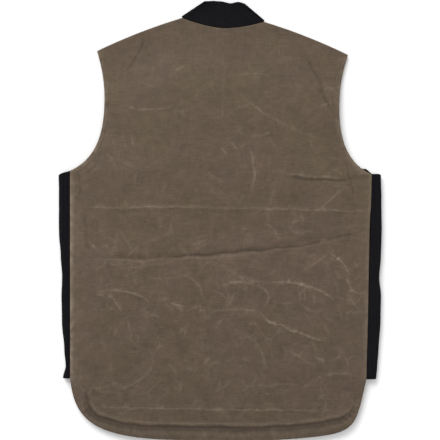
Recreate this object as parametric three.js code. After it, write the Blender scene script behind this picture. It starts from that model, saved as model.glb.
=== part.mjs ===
// A work vest of waxed canvas with a rib-knit collar and rib-knit side panels, zipped shut and laid
// flat on its front, back up. Millimetres, +Z up, +X to the right and +Y towards the collar, seen
// from above. The origin is the middle of its footprint, on the surface that it lies on.
import * as THREE from "three";

// Walls: the canvas with its lining, and the folded rib knit
const canvasWall = 3;
const knitWall = 3;
// Room between pieces that are sewn together
const seamGap = 0.35;

// Lengths down the back, from the neck points
const bodyLength = 761;
const shoulderDrop = 60;
const armholeDepth = 217;
const ribLength = 373;

// Widths of the canvas back as it lies
const chestWidth = 546;
const hemWidth = 536;
const shoulderWidth = 455;
const armholeWidth = 425;
const neckWidth = 148;

// Neckline and collar
const backNeckDrop = 16;
const frontNeckDrop = 88;
const collarHeight = 50;
const collarTopWidth = 58;
const collarStand = 28;
const collarTopHeight = 11.5;

// How high the cloth lies: the middle of the back, its side edges, and the back of the neck
const crownHeight = 25;
const sideHeight = 11.5;
const neckHeight = 12;

// A fold's full height and half width, and the room between its row of cloth and the next ones
const foldHeight = 2.6;
const foldWidth = 10;
const foldRowGap = 6;

// Side ribs, hem and shoulders
const ribReach = 22;
// How much lower a rib's folded edge ends than its seam, at the pit
const ribTopDrop = { left: 6, right: 1.5 };
const hemBand = 25;
const hemSeamDepth = 1.2;
const hemSeamWidth = 6;
const shoulderBow = 3.5;

// Front closure
const frontInset = 1.5;
const closureWidth = 9;
const tapeWidth = 30;
const tapeWall = 1;
const teethWidth = 6;
const teethClear = 0.95;
const sliderWidth = 8;
const sliderClear = 0.45;
const sliderLength = 14;

// How the vest settled: its neck lies to the right of its tail, and its right side a little lower
const lean = 10;
const leanFrom = 0.55;
const slip = 7;

const canvas = new THREE.MeshStandardMaterial({ color: 0x64574a, roughness: 0.72, metalness: 0 });
const knit = new THREE.MeshStandardMaterial({ color: 0x19181a, roughness: 0.95, metalness: 0 });
const zipMetal = new THREE.MeshStandardMaterial({ color: 0x2a2723, roughness: 0.55, metalness: 0.3 });

// Heights down the body, from the neck points
const pitY = -(shoulderDrop + armholeDepth);
const ribEndY = pitY - ribLength;
const tailDepth = bodyLength + ribEndY;

// Where the armhole is narrowest, as a share of its depth below the shoulder tip
const armholeNarrowAt = 0.42;
// The lower armhole's curve: its two handles, in shares of its reach and of its depth
const armholeHandles = [
  { out: 0, down: 0.51 },
  { out: 0.27, down: 0.84 },
];

// The tail's round corners: how far each reaches in along the hem, as a share of the hem's width,
// and its curve's two handles, in shares of that reach and of the tail's depth
const tailCorners = {
  left: { reach: 0.417, in1: 0.045, down1: 0.76, in2: 0.28, down2: 0.96 },
  right: { reach: 0.317, in1: 0.016, down1: 0.83, in2: 0.18, down2: 0.97 },
};

// The rise of the back above its side edges and the height of those edges, up the body:
// "up" is the share of the way from the tail's corners to the shoulder tips, "crown" is a share of
// crownHeight and "edge" a share of sideHeight
const backRise = [
  { up: 0, crown: 0.46, edge: 0.78 },
  { up: 0.12, crown: 0.66, edge: 0.88 },
  { up: 0.4, crown: 0.94, edge: 1 },
  { up: 0.68, crown: 1, edge: 1 },
  { up: 0.86, crown: 0.84, edge: 0.95 },
  { up: 1, crown: 0.44, edge: 0.42 },
];

// How far each side rib shows past the canvas, down its length, in shares of ribReach
const ribShow = [
  { down: 0, left: 1, right: 0.84 },
  { down: 0.25, left: 1.02, right: 0.92 },
  { down: 0.5, left: 0.8, right: 0.84 },
  { down: 0.6, left: 0.82, right: 1.08 },
  { down: 0.85, left: 0.56, right: 1.06 },
  { down: 1, left: 0.5, right: 0.88 },
];

// The main folds of the back. "rise" is a share of foldHeight, below zero for a groove, and "wide" a
// share of foldWidth. x is a share of half the chest, to the right, and "down" a share of the body's
// length, from the neck points; the bend pulls a fold's middle aside
const foldColumns = ["name", "rise", "wide", "fromX", "fromDown", "bendX", "bendDown", "toX", "toDown"];
const foldTable = [
  ["cross fold", -1, 0.6, -0.88, 0.566, 0, 0.577, 0.87, 0.507],
  ["chest crease", 0.35, 0.5, -0.88, 0.447, 0.06, 0.447, 1, 0.457],
  ["tail crease", 0.35, 0.5, -0.88, 0.923, 0, 0.923, 0.86, 0.925],
  ["pit pleat", -0.6, 0.6, 0.43, 0.371, 0.66, 0.381, 0.99, 0.381],
  ["left shoulder dent", -0.8, 1.2, -0.52, 0.05, -0.57, 0.098, -0.67, 0.133],
  ["right shoulder dent", -0.7, 1.1, 0.56, 0.074, 0.69, 0.157, 0.79, 0.245],
  ["left hip ridge", 0.5, 0.9, -0.75, 0.642, -0.47, 0.64, -0.25, 0.69],
  ["middle hip ridge", 0.45, 0.9, 0.01, 0.637, 0.28, 0.611, 0.33, 0.68],
  ["right hip ridge", 0.55, 0.9, 0.34, 0.623, 0.59, 0.628, 0.76, 0.663],
  ["low right ridge", 0.6, 1, 0.15, 0.687, 0.32, 0.704, 0.7, 0.766],
  ["right side peak", 0.6, 1, 0.55, 0.599, 0.74, 0.54, 0.87, 0.644],
  ["low left ridge", 0.45, 1, -0.47, 0.83, -0.57, 0.878, -0.85, 0.873],
  ["left side dent", -0.4, 0.9, -0.93, 0.383, -0.92, 0.478, -0.9, 0.537],
  ["right pit ridge", 0.5, 1, 0.83, 0.395, 0.73, 0.442, 0.61, 0.469],
];
const foldPoints = 14;

// Rows of the back's cloth that run along a fold: the fold, and how far above and below it the
// rows still bend with it, as a share of the edge's height
const rowFolds = [
  { name: "cross fold", reach: 0.2 },
  { name: "chest crease", reach: 0.06 },
];

// How full the back's dome and the neckline's curve are, and where, up the side edges, the back
// starts to fall towards the shoulder seams and rows stop taking the hem's shape
const domePower = 2.4;
const neckPower = 1.6;
const topFallFrom = 0.8;
const tailBlend = 0.28;

// Numbers of columns and rows in the cloth of each piece
const neckColumns = 8;
const shoulderColumns = 8;
const tailRows = 8;
const sideRows = 18;
const armholeRows = 10;
const ribColumns = 4;
const turnSteps = 5;
const collarRows = 4;
const collarFrontColumns = 12;
const tailColumns = 14;

// Small helpers
function mix(a, b, share) {
  return a + (b - a) * share;
}

function smooth(share) {
  return share * share * (3 - 2 * share);
}

// A column of a table, read between its rows
function readTable(rows, place, value, at) {
  let index = 0;
  while (index < rows.length - 2 && at > rows[index + 1][place]) {
    index += 1;
  }
  const low = rows[index];
  const high = rows[index + 1];
  const share = THREE.MathUtils.clamp((at - low[place]) / (high[place] - low[place]), 0, 1);
  return mix(low[value], high[value], smooth(share));
}

// Evenly spaced values from start to end, both included
function steps(start, end, count) {
  return Array.from({ length: count + 1 }, (_, index) => mix(start, end, index / count));
}

function sideName(side) {
  return side < 0 ? "left" : "right";
}

// The body's middle, and how much a side has slipped down, at a height
function middleAt(y) {
  return lean * (leanFrom + THREE.MathUtils.clamp(y / bodyLength, -1, 0));
}

function slipAt(y, side) {
  const share = THREE.MathUtils.clamp((bodyLength + y) / (bodyLength + pitY), 0, 1);
  return (-side * slip * share) / 2;
}

// A point on the body's outline, "out" from its middle on one side
function outlinePoint(out, y, side) {
  return new THREE.Vector2(middleAt(y) + side * out, y + slipAt(y, side));
}

// The half of the tail's curve from the rib's lower end (0) to the flat of the hem (1)
function tailCorner(share, side) {
  const corner = tailCorners[sideName(side)];
  const reach = corner.reach * hemWidth;
  const start = outlinePoint(hemWidth / 2, ribEndY, side);
  const end = new THREE.Vector2(start.x - side * reach, -bodyLength);
  const drop = start.y - end.y;
  const curve = new THREE.CubicBezierCurve(
    start,
    new THREE.Vector2(start.x - side * reach * corner.in1, start.y - drop * corner.down1),
    new THREE.Vector2(start.x - side * reach * corner.in2, start.y - drop * corner.down2),
    end,
  );
  return curve.getPoint(share);
}

// The armhole's edge from the shoulder tip (0) to the pit (1)
function armhole(share, side) {
  const narrow = armholeWidth / 2;
  const tipY = -shoulderDrop;
  if (share <= armholeNarrowAt) {
    const left = 1 - share / armholeNarrowAt;
    const out = mix(narrow, shoulderWidth / 2, left * left);
    return outlinePoint(out, tipY - share * armholeDepth, side);
  }
  const reach = chestWidth / 2 - narrow;
  const startY = tipY - armholeNarrowAt * armholeDepth;
  const drop = startY - pitY;
  const curve = new THREE.CubicBezierCurve(
    new THREE.Vector2(narrow, startY),
    new THREE.Vector2(narrow + reach * armholeHandles[0].out, startY - drop * armholeHandles[0].down),
    new THREE.Vector2(narrow + reach * armholeHandles[1].out, startY - drop * armholeHandles[1].down),
    new THREE.Vector2(chestWidth / 2, pitY),
  );
  const point = curve.getPoint((share - armholeNarrowAt) / (1 - armholeNarrowAt));
  return outlinePoint(point.x, point.y, side);
}

// The canvas edge beside the rib, from the pit (0) to the rib's lower end (1)
function sideSeam(share, side) {
  const out = mix(chestWidth, hemWidth, share) / 2;
  return outlinePoint(out, mix(pitY, ribEndY, share), side);
}

// Shares of the way up a side edge, from the middle of the tail's corner (0) to the shoulder tip (1)
const edgeHeight = tailDepth / 2 + ribLength + armholeDepth;
const ribEndUp = tailDepth / 2 / edgeHeight;
const pitUp = (tailDepth / 2 + ribLength) / edgeHeight;

function sideEdge(up, side) {
  if (up <= ribEndUp) {
    return tailCorner(mix(0.5, 0, up / ribEndUp), side);
  }
  if (up <= pitUp) {
    return sideSeam(mix(1, 0, (up - ribEndUp) / (pitUp - ribEndUp)), side);
  }
  return armhole(mix(1, 0, (up - pitUp) / (1 - pitUp)), side);
}

// Shares of the way across, from the left edge (0) to the right one (1)
const neckLeftAcross = 0.5 - neckWidth / shoulderWidth / 2;
const neckRightAcross = 1 - neckLeftAcross;

function hemEdge(across) {
  const left = tailCorner(0.5, -1);
  const right = tailCorner(0.5, 1);
  const leftFlat = tailCorner(1, -1);
  const rightFlat = tailCorner(1, 1);
  const leftShare = (leftFlat.x - left.x) / (right.x - left.x);
  const rightShare = (rightFlat.x - left.x) / (right.x - left.x);
  if (across < leftShare) {
    return tailCorner(mix(0.5, 1, across / leftShare), -1);
  }
  if (across > rightShare) {
    return tailCorner(mix(1, 0.5, (across - rightShare) / (1 - rightShare)), 1);
  }
  return leftFlat.lerp(rightFlat, (across - leftShare) / (rightShare - leftShare));
}

function neckPoint(side) {
  return outlinePoint(neckWidth / 2, 0, side);
}

// The back neckline, from the left neck point (-1) to the right one (1)
function backNeckline(along) {
  const point = neckPoint(-1).lerp(neckPoint(1), (along + 1) / 2);
  point.y -= backNeckDrop * (1 - Math.abs(along) ** neckPower);
  return point;
}

// A point of the quarter ellipse from a place beside the neck (0) down to the closure (1)
function towardsClosure(along, side, from, lowY) {
  const angle = (along * Math.PI) / 2;
  const y = from.y - (from.y - lowY) * Math.sin(angle);
  const out = side * (from.x - middleAt(from.y)) - closureWidth / 2;
  return new THREE.Vector2(middleAt(y) + side * (closureWidth / 2 + out * Math.cos(angle)), y);
}

// The front neckline on one side, from the neck point (0) down to the closure (1)
function frontNeckline(along, side) {
  return towardsClosure(along, side, neckPoint(side), -frontNeckDrop);
}

// A shoulder seam, from its tip (0) to the neck point (1)
function shoulder(share, side) {
  const tip = armhole(0, side);
  const point = tip.lerp(neckPoint(side), share);
  point.y += shoulderBow * 4 * share * (1 - share);
  return point;
}

function topEdge(across) {
  if (across <= neckLeftAcross) {
    return shoulder(across / neckLeftAcross, -1);
  }
  if (across >= neckRightAcross) {
    return shoulder((1 - across) / (1 - neckRightAcross), 1);
  }
  return backNeckline(mix(-1, 1, (across - neckLeftAcross) / (neckRightAcross - neckLeftAcross)));
}

// A place on the back, seen from above, in the patch that its four edges bound. Rows run straight
// across the body, and take the hem's and the shoulders' shape near them
function patchPlan(across, up) {
  const left = sideEdge(up, -1);
  const right = sideEdge(up, 1);
  const low = hemEdge(across);
  const high = topEdge(across);
  const lowEnds = hemEdge(0).lerp(hemEdge(1), across);
  const highEnds = topEdge(0).lerp(topEdge(1), across);
  const lowShare = 1 - smooth(THREE.MathUtils.clamp(up / tailBlend, 0, 1));
  const highShare = smooth(THREE.MathUtils.clamp((up - pitUp) / (1 - pitUp), 0, 1));
  const plan = left.lerp(right, across);
  plan.addScaledVector(low.sub(lowEnds), lowShare);
  return plan.addScaledVector(high.sub(highEnds), highShare);
}

// The folds, each with its curve in plan
const folds = foldTable.map((row) => {
  const fold = Object.fromEntries(foldColumns.map((column, index) => [column, row[index]]));
  const place = (x, down) => new THREE.Vector2((x * chestWidth) / 2, -down * bodyLength);
  const ends = [place(fold.fromX, fold.fromDown), place(fold.toX, fold.toDown)];
  const curve = new THREE.QuadraticBezierCurve(ends[0], place(fold.bendX, fold.bendDown), ends[1]);
  return { ...fold, curve, line: curve.getPoints(foldPoints) };
});

// The share of the way up the side edges at which a fold that crosses the back begins
function foldUp(curve) {
  return mix(pitUp, ribEndUp, (pitY - curve.v0.y) / ribLength);
}

const bentRows = rowFolds.map(({ name, reach }) => {
  const { curve } = folds.find((fold) => fold.name === name);
  return { curve, reach, up: foldUp(curve) };
});

// A place on the back, seen from above, with the rows near a crossing fold bent to run along it
function backPlan(across, up) {
  const plan = patchPlan(across, up);
  for (const row of bentRows) {
    const nearness = Math.max(0, 1 - Math.abs(up - row.up) / row.reach);
    const onRow = patchPlan(across, row.up);
    const { v0, v2 } = row.curve;
    const share = THREE.MathUtils.clamp((onRow.x - v0.x) / (v2.x - v0.x), 0, 1);
    plan.y += (row.curve.getPoint(share).y - onRow.y) * smooth(nearness);
  }
  return plan;
}

function distanceToLine(point, line) {
  const nearest = new THREE.Vector2();
  let distance = Infinity;
  for (let index = 1; index < line.length; index += 1) {
    const start = line[index - 1];
    const span = line[index].clone().sub(start);
    const share = THREE.MathUtils.clamp(point.clone().sub(start).dot(span) / span.lengthSq(), 0, 1);
    nearest.copy(start).addScaledVector(span, share);
    distance = Math.min(distance, nearest.distanceTo(point));
  }
  return distance;
}

// The whole edge of the tail, from the left rib's lower end round to the right one's
const hemLine = [
  ...steps(0, 1, tailColumns).map((share) => tailCorner(share, -1)),
  ...steps(1, 0, tailColumns).map((share) => tailCorner(share, 1)),
];

// What folds and the hem's seam add to the height of the back at a place
function reliefAt(plan) {
  let relief = 0;
  for (const fold of folds) {
    const offset = distanceToLine(plan, fold.line) / (fold.wide * foldWidth);
    relief += fold.rise * foldHeight * Math.exp(-offset * offset);
  }
  const seamOffset = (distanceToLine(plan, hemLine) - hemBand) / hemSeamWidth;
  return relief - hemSeamDepth * Math.exp(-seamOffset * seamOffset);
}

// The lowest that the middle of the back's cloth lies: on the front's shoulders
const restHeight = canvasWall + seamGap + canvasWall / 2;

// The height of the middle of the back's cloth
function backHeight(across, up, plan) {
  const spread = Math.abs(2 * across - 1);
  const edge = Math.max(restHeight, sideHeight * readTable(backRise, "up", "edge", up));
  const crown = crownHeight * readTable(backRise, "up", "crown", up);
  const dome = mix(crown, edge, spread ** domePower);
  const neckShare = THREE.MathUtils.clamp(spread / (neckWidth / shoulderWidth), 0, 1);
  const topLine = mix(neckHeight, restHeight, smooth(neckShare));
  const nearTop = smooth(THREE.MathUtils.clamp((up - topFallFrom) / (1 - topFallFrom), 0, 1));
  return mix(dome + reliefAt(plan), topLine, nearTop);
}

function backPoint(across, up) {
  const plan = backPlan(across, up);
  return new THREE.Vector3(plan.x, plan.y, backHeight(across, up, plan));
}

// A mesh from points and triangles
function solid(name, points, triangles, material) {
  const geometry = new THREE.BufferGeometry();
  geometry.setAttribute("position", new THREE.Float32BufferAttribute(points.flatMap((p) => p.toArray()), 3));
  geometry.setIndex(triangles.flat());
  const mesh = new THREE.Mesh(geometry, material);
  mesh.name = name;
  return mesh;
}

// Cloth: a grid of points, thickened by half its wall to each side and closed round its rim.
// Its outer side faces the way that rows cross columns
function cloth(name, grid, normals, wall, material) {
  const rows = grid.length;
  const columns = grid[0].length;
  const points = [];
  for (const side of [0.5, -0.5]) {
    grid.forEach((row, i) => {
      row.forEach((point, j) => points.push(point.clone().addScaledVector(normals[i][j], side * wall)));
    });
  }
  const outer = (i, j) => i * columns + j;
  const inner = (i, j) => rows * columns + i * columns + j;
  const triangles = [];
  const quad = (a, b, c, d) => triangles.push([a, b, c], [a, c, d]);
  for (let i = 0; i < rows - 1; i += 1) {
    for (let j = 0; j < columns - 1; j += 1) {
      quad(outer(i, j), outer(i + 1, j), outer(i + 1, j + 1), outer(i, j + 1));
      quad(inner(i, j), inner(i, j + 1), inner(i + 1, j + 1), inner(i + 1, j));
    }
    quad(outer(i + 1, 0), outer(i, 0), inner(i, 0), inner(i + 1, 0));
    quad(outer(i, columns - 1), outer(i + 1, columns - 1), inner(i + 1, columns - 1), inner(i, columns - 1));
  }
  for (let j = 0; j < columns - 1; j += 1) {
    quad(outer(0, j), outer(0, j + 1), inner(0, j + 1), inner(0, j));
    quad(outer(rows - 1, j + 1), outer(rows - 1, j), inner(rows - 1, j), inner(rows - 1, j + 1));
  }
  return solid(name, points, triangles, material);
}

// Unit normals of a grid of points
function gridNormals(grid) {
  const rows = grid.length;
  const columns = grid[0].length;
  return grid.map((row, i) =>
    row.map((_, j) => {
      const down = grid[Math.min(i + 1, rows - 1)][j].clone().sub(grid[Math.max(i - 1, 0)][j]);
      const right = row[Math.min(j + 1, columns - 1)].clone().sub(row[Math.max(j - 1, 0)]);
      return down.cross(right).normalize();
    }),
  );
}

// Columns across the back: they pass through both neck points and crowd towards the sides
const acrossStations = [
  ...steps(0, 1, shoulderColumns).slice(0, -1).map((share) => neckLeftAcross * share ** 1.25),
  ...steps(neckLeftAcross, neckRightAcross, neckColumns),
  ...steps(1, 0, shoulderColumns).slice(1).map((share) => 1 - (1 - neckRightAcross) * share ** 1.25),
];

// Rows up the back: even ones, and three along each crossing fold in place of those too near it
const evenRows = [
  ...steps(0, ribEndUp, tailRows).slice(0, -1),
  ...steps(ribEndUp, pitUp, sideRows),
  ...steps(pitUp, 1, armholeRows).slice(1),
];
const foldRows = bentRows.flatMap(({ up }) => {
  return [-1, 0, 1].map((step) => up + (step * foldRowGap) / edgeHeight);
});
const keptRows = evenRows.filter((up) => {
  const nearest = Math.min(...bentRows.map((row) => Math.abs(up - row.up)));
  return nearest > (1.8 * foldRowGap) / edgeHeight;
});
const upStations = [...keptRows, ...foldRows].sort((a, b) => a - b);

function backPanel() {
  const grid = acrossStations.map((across) => upStations.map((up) => backPoint(across, up)));
  const upward = grid.map((column) => column.map(() => new THREE.Vector3(0, 0, 1)));
  return cloth("back_panel", grid, upward, canvasWall, canvas);
}

// The front's outline on one side: the back's drawn in a little, its own deep neckline, and a
// straight edge beside the closure. It runs from the middle of the hem out and up to the collar
function frontOutline(side) {
  const outline = [
    ...steps(1, 0, tailColumns).map((share) => tailCorner(share, side)),
    ...steps(1, 0, armholeRows).map((share) => armhole(share, side)),
    ...steps(0, 1, shoulderColumns).slice(1, -1).map((share) => shoulder(share, side)),
  ];
  const inset = outline.map((point, index) => {
    const before = outline[Math.max(index - 1, 0)];
    const after = outline[Math.min(index + 1, outline.length - 1)];
    const along = after.clone().sub(before).normalize();
    const inward = new THREE.Vector2(-along.y, along.x).multiplyScalar(side * frontInset);
    return point.clone().add(inward);
  });
  const closureX = (y) => middleAt(y) + (side * closureWidth) / 2;
  const hemY = -bodyLength + frontInset;
  const neckline = steps(0, 1, collarFrontColumns).map((along) => frontNeckline(along, side));
  return [new THREE.Vector2(closureX(hemY), hemY), ...inset, ...neckline];
}

function frontPanel(name, side) {
  const shape = new THREE.Shape(frontOutline(side));
  const geometry = new THREE.ExtrudeGeometry(shape, { depth: canvasWall, bevelEnabled: false });
  const mesh = new THREE.Mesh(geometry, canvas);
  mesh.name = name;
  return mesh;
}

// A folded band seen in section: it runs out along the surface at lowZ, turns up over a half
// circle and comes back at highZ. "out" and "z" are given for each station
function foldedSection(innerLow, innerHigh, reach, lowZ, highZ) {
  const radius = (highZ - lowZ) / 2;
  const turnAt = reach - radius - knitWall / 2;
  const lower = steps(innerLow, turnAt, ribColumns).map((out) => ({ out, z: lowZ }));
  const turn = steps(-Math.PI / 2, Math.PI / 2, turnSteps).slice(1, -1).map((angle) => ({
    out: turnAt + radius * Math.cos(angle),
    z: lowZ + radius + radius * Math.sin(angle),
  }));
  const upper = steps(turnAt, innerHigh, ribColumns).map((out) => ({ out, z: highZ }));
  return [...lower, ...turn, ...upper];
}

// A side rib: the folded band between the front's and the back's side edges
function sideRib(name, side) {
  const shares = steps(0, 1, sideRows);
  const grid = shares.map((share) => {
    const up = mix(pitUp, ribEndUp, share);
    const edge = sideSeam(share, side);
    const reach = ribReach * readTable(ribShow, "down", sideName(side), share);
    const highZ = backPoint(side < 0 ? 0 : 1, up).z;
    const section = foldedSection(seamGap - frontInset, seamGap, reach, knitWall / 2, highZ);
    const drop = ribTopDrop[sideName(side)] * (1 - share);
    return section.map(({ out, z }) => {
      const y = edge.y - drop * Math.max(0, out / reach);
      return new THREE.Vector3(edge.x + side * out, y, z);
    });
  });
  const oriented = side < 0 ? grid : grid.reverse();
  return cloth(name, oriented, gridNormals(oriented), knitWall, knit);
}

// The collar's base on the front, just inside the front neckline, and its free edge there
function collarFront(along, side) {
  const neck = neckPoint(side);
  const inside = new THREE.Vector2(neck.x - side * seamGap, neck.y + seamGap);
  const base = towardsClosure(along, side, inside, seamGap - frontNeckDrop);
  const top = towardsClosure(along, side, collarCorner(side), collarHeight - frontNeckDrop);
  return {
    base: new THREE.Vector3(base.x, base.y, knitWall / 2),
    top: new THREE.Vector3(top.x, top.y, knitWall / 2),
  };
}

// The collar's upper corner on one side, where its free edge folds over
function collarCorner(side) {
  const neck = neckPoint(side);
  return new THREE.Vector2(middleAt(0) + (side * collarTopWidth) / 2, neck.y + collarStand);
}

// The collar across the back of the neck, from the left fold (-1) to the right one (1)
function collarBack(along) {
  const base = backNeckline(along);
  const top = collarCorner(-1).lerp(collarCorner(1), (along + 1) / 2);
  const across = mix(neckLeftAcross, neckRightAcross, (along + 1) / 2);
  return {
    base: new THREE.Vector3(base.x - seamGap * along, base.y + seamGap, backPoint(across, 1).z),
    top: new THREE.Vector3(top.x, top.y, collarTopHeight),
  };
}

// The collar's fold on one side: a half turn from the front's layer up to the back's
function collarFold(angle, side) {
  const low = collarFront(0, side);
  const high = collarBack(side);
  const foldDirection = low.top.clone().sub(low.base).normalize();
  const outward = new THREE.Vector3(side * foldDirection.y, -side * foldDirection.x, 0);
  const turned = {};
  for (const edge of ["base", "top"]) {
    const radius = (high[edge].z - low[edge].z) / 2;
    turned[edge] = low[edge].clone().addScaledVector(outward, radius * Math.cos(angle));
    turned[edge].z += radius * (1 + Math.sin(angle));
  }
  return turned;
}

function collar() {
  const front = (side) => steps(1, 0, collarFrontColumns).map((along) => collarFront(along, side));
  const angles = steps(-Math.PI / 2, Math.PI / 2, turnSteps).slice(1, -1);
  const fold = (side) => angles.map((angle) => collarFold(angle, side));
  const round = [
    ...front(-1),
    ...fold(-1),
    ...steps(-1, 1, neckColumns).map((along) => collarBack(along)),
    ...fold(1).reverse(),
    ...front(1).reverse(),
  ];
  const grid = round.map(({ base, top }) => {
    return steps(0, 1, collarRows).map((share) => base.clone().lerp(top, share));
  });
  return cloth("collar", grid, gridNormals(grid), knitWall, knit);
}

// The closure, seen in section: a tape inside the fronts, with its teeth down between their edges
function closureSection(y, width, clear) {
  const tapeLow = Math.max(canvasWall, knitWall) + seamGap;
  const profile = [
    [-tapeWidth / 2, tapeLow],
    [-width / 2, tapeLow],
    [-width / 2, clear],
    [width / 2, clear],
    [width / 2, tapeLow],
    [tapeWidth / 2, tapeLow],
    [tapeWidth / 2, tapeLow + tapeWall],
    [-tapeWidth / 2, tapeLow + tapeWall],
  ];
  return profile.map(([x, z]) => new THREE.Vector3(middleAt(y) + x, y, z));
}

// Sections of one closed outline joined along their length, with flat ends
function loft(name, sections, material) {
  const count = sections[0].length;
  const flat = sections[0].map((point) => new THREE.Vector2(point.x, point.z));
  const caps = THREE.ShapeUtils.triangulateShape(flat, []);
  const last = (sections.length - 1) * count;
  const triangles = [];
  for (const [a, b, c] of caps) {
    triangles.push([a, b, c], [last + a, last + c, last + b]);
  }
  for (let row = 0; row < sections.length - 1; row += 1) {
    for (let index = 0; index < count; index += 1) {
      const next = (index + 1) % count;
      const [a, b] = [row * count + index, row * count + next];
      triangles.push([a, a + count, b + count], [a, b + count, b]);
    }
  }
  return solid(name, sections.flat(), triangles, material);
}

function frontZip() {
  const start = -bodyLength + 2 * frontInset;
  const end = -frontNeckDrop + collarHeight - frontInset;
  const sliderEnd = end - frontInset;
  const sliderStart = sliderEnd - sliderLength;
  const step = (sliderWidth - teethWidth) / 2;
  const sections = [
    closureSection(start, teethWidth, teethClear),
    closureSection(sliderStart - step, teethWidth, teethClear),
    closureSection(sliderStart, sliderWidth, sliderClear),
    closureSection(sliderEnd, sliderWidth, sliderClear),
    closureSection(sliderEnd + step, teethWidth, teethClear),
    closureSection(end, teethWidth, teethClear),
  ];
  return loft("front_zip", sections, zipMetal);
}

const vest = new THREE.Group();
vest.add(
  backPanel(),
  frontPanel("front_panel_left", -1),
  frontPanel("front_panel_right", 1),
  sideRib("side_rib_left", -1),
  sideRib("side_rib_right", 1),
  collar(),
  frontZip(),
);

// The middle of the footprint goes to the origin, with the cloth's underside on the surface
const bounds = new THREE.Box3().setFromObject(vest);
const middle = bounds.getCenter(new THREE.Vector3());
vest.position.set(-middle.x, -middle.y, -bounds.min.z);

export default vest;
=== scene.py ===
"""A work vest of waxed canvas with a rib-knit collar and rib-knit side panels, zipped shut and laid
flat on its front. Metres, +Z up, +Y towards the collar. The outline's sizes are the model's own."""
import math

import bmesh
import bpy
import numpy as np
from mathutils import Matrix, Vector


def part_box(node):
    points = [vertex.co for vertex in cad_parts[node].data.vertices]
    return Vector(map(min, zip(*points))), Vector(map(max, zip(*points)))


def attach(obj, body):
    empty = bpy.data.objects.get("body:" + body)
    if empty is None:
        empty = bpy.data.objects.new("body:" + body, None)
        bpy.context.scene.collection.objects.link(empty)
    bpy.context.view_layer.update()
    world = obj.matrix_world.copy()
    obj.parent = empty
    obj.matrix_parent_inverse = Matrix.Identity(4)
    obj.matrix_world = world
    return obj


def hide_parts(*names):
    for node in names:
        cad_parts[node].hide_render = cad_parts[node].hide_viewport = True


bl_info = {
    "name": "Waxed Canvas Vest",
    "version": (1, 0, 0),
    "blender": (4, 5, 0),
    "location": "View3D > Sidebar > Vest",
    "description": "Makes a waxed canvas work vest with rib-knit sides, lying flat",
    "category": "Object",
}

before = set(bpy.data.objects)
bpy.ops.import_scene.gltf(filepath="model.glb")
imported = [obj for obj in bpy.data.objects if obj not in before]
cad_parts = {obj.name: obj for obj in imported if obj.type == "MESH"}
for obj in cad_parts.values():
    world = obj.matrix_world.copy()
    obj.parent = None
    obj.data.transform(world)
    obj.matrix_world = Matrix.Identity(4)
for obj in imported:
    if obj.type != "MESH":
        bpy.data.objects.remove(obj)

# Walls and the room between pieces that are sewn together
CANVAS_WALL = 0.003
KNIT_WALL = 0.003
SEAM_GAP = 0.00035

# Lengths down the back, from the neck points
BODY_LENGTH = 0.761
SHOULDER_DROP = 0.060
ARMHOLE_DEPTH = 0.217
RIB_LENGTH = 0.373

# Widths of the canvas back as it lies
CHEST_WIDTH = 0.546
HEM_WIDTH = 0.536
SHOULDER_WIDTH = 0.455
ARMHOLE_WIDTH = 0.425
NECK_WIDTH = 0.148

# Neckline and collar
BACK_NECK_DROP = 0.016
FRONT_NECK_DROP = 0.088
COLLAR_HEIGHT = 0.050
COLLAR_TOP_WIDTH = 0.058
COLLAR_STAND = 0.028
COLLAR_TOP_HEIGHT = 0.0115
# Along the collar's free edge behind the neck, from its left fold at -1 to its right one at 1: how
# much it rises past a straight line
COLLAR_TOP_RISE = (
    (-1, 0.0016),
    (-0.6, 0.0028),
    (-0.2, 0.0026),
    (0.35, 0.0001),
    (0.8, 0.0034),
    (1, 0.0026),
)
# How much further out and up the collar's free edge folds over, by side
COLLAR_CORNER_SHIFT = {-1: (0, 0), 1: (0.005, 0.0035)}
# How far the free edge sags where it turns over at the folds
COLLAR_FOLD_SAG = 0.0024

# How high the middle of the back's cloth lies: in the middle, at the sides and behind the neck
CROWN_HEIGHT = 0.025
SIDE_HEIGHT = 0.0115
NECK_HEIGHT = 0.012
REST_HEIGHT = CANVAS_WALL + SEAM_GAP + CANVAS_WALL / 2

# Side ribs, shoulders and front closure
RIB_REACH = 0.022
# How much lower the side ribs' upper ends lie beside the canvas and at their folds, by side
RIB_TOP_DROP = {-1: (0, 0.006), 1: (-0.0012, -0.0014)}
RIB_TOP_ROUNDING = 0.003
SHOULDER_BOW = 0.0035
FRONT_INSET = 0.0015
CLOSURE_WIDTH = 0.009
TAPE_WIDTH = 0.030
TAPE_WALL = 0.001
TAPE_GAP = 0.0003
TAPE_STEPS = (0.01, 0.003)
TAPE_LOW_Z = max(CANVAS_WALL, KNIT_WALL) + SEAM_GAP
ZIP_TOP_Y = -FRONT_NECK_DROP + COLLAR_HEIGHT
TEETH_WIDTH = 0.006
TEETH_CLEAR = 0.00095
TEETH_LAP = 0.0002
TOOTH_SHARE = 0.42
SLIDER_WIDTH = 0.008
SLIDER_CLEAR = 0.00045
SLIDER_LENGTH = 0.014
SLIDER_ROUNDING = 0.0004
# Up the slider: share of its length, share of its width
SLIDER_SECTIONS = ((0, 0.62), (0.2, 0.8), (0.6, 1), (0.85, 1), (1, 0.8))

# How the vest settled: its neck lies to the right of its tail, and its right side a little lower
LEAN = 0.010
LEAN_FROM = 0.55
SLIP = 0.007

# Heights down the body, from the neck points
PIT_Y = -(SHOULDER_DROP + ARMHOLE_DEPTH)
RIB_END_Y = PIT_Y - RIB_LENGTH
TAIL_DEPTH = BODY_LENGTH + RIB_END_Y

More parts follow.
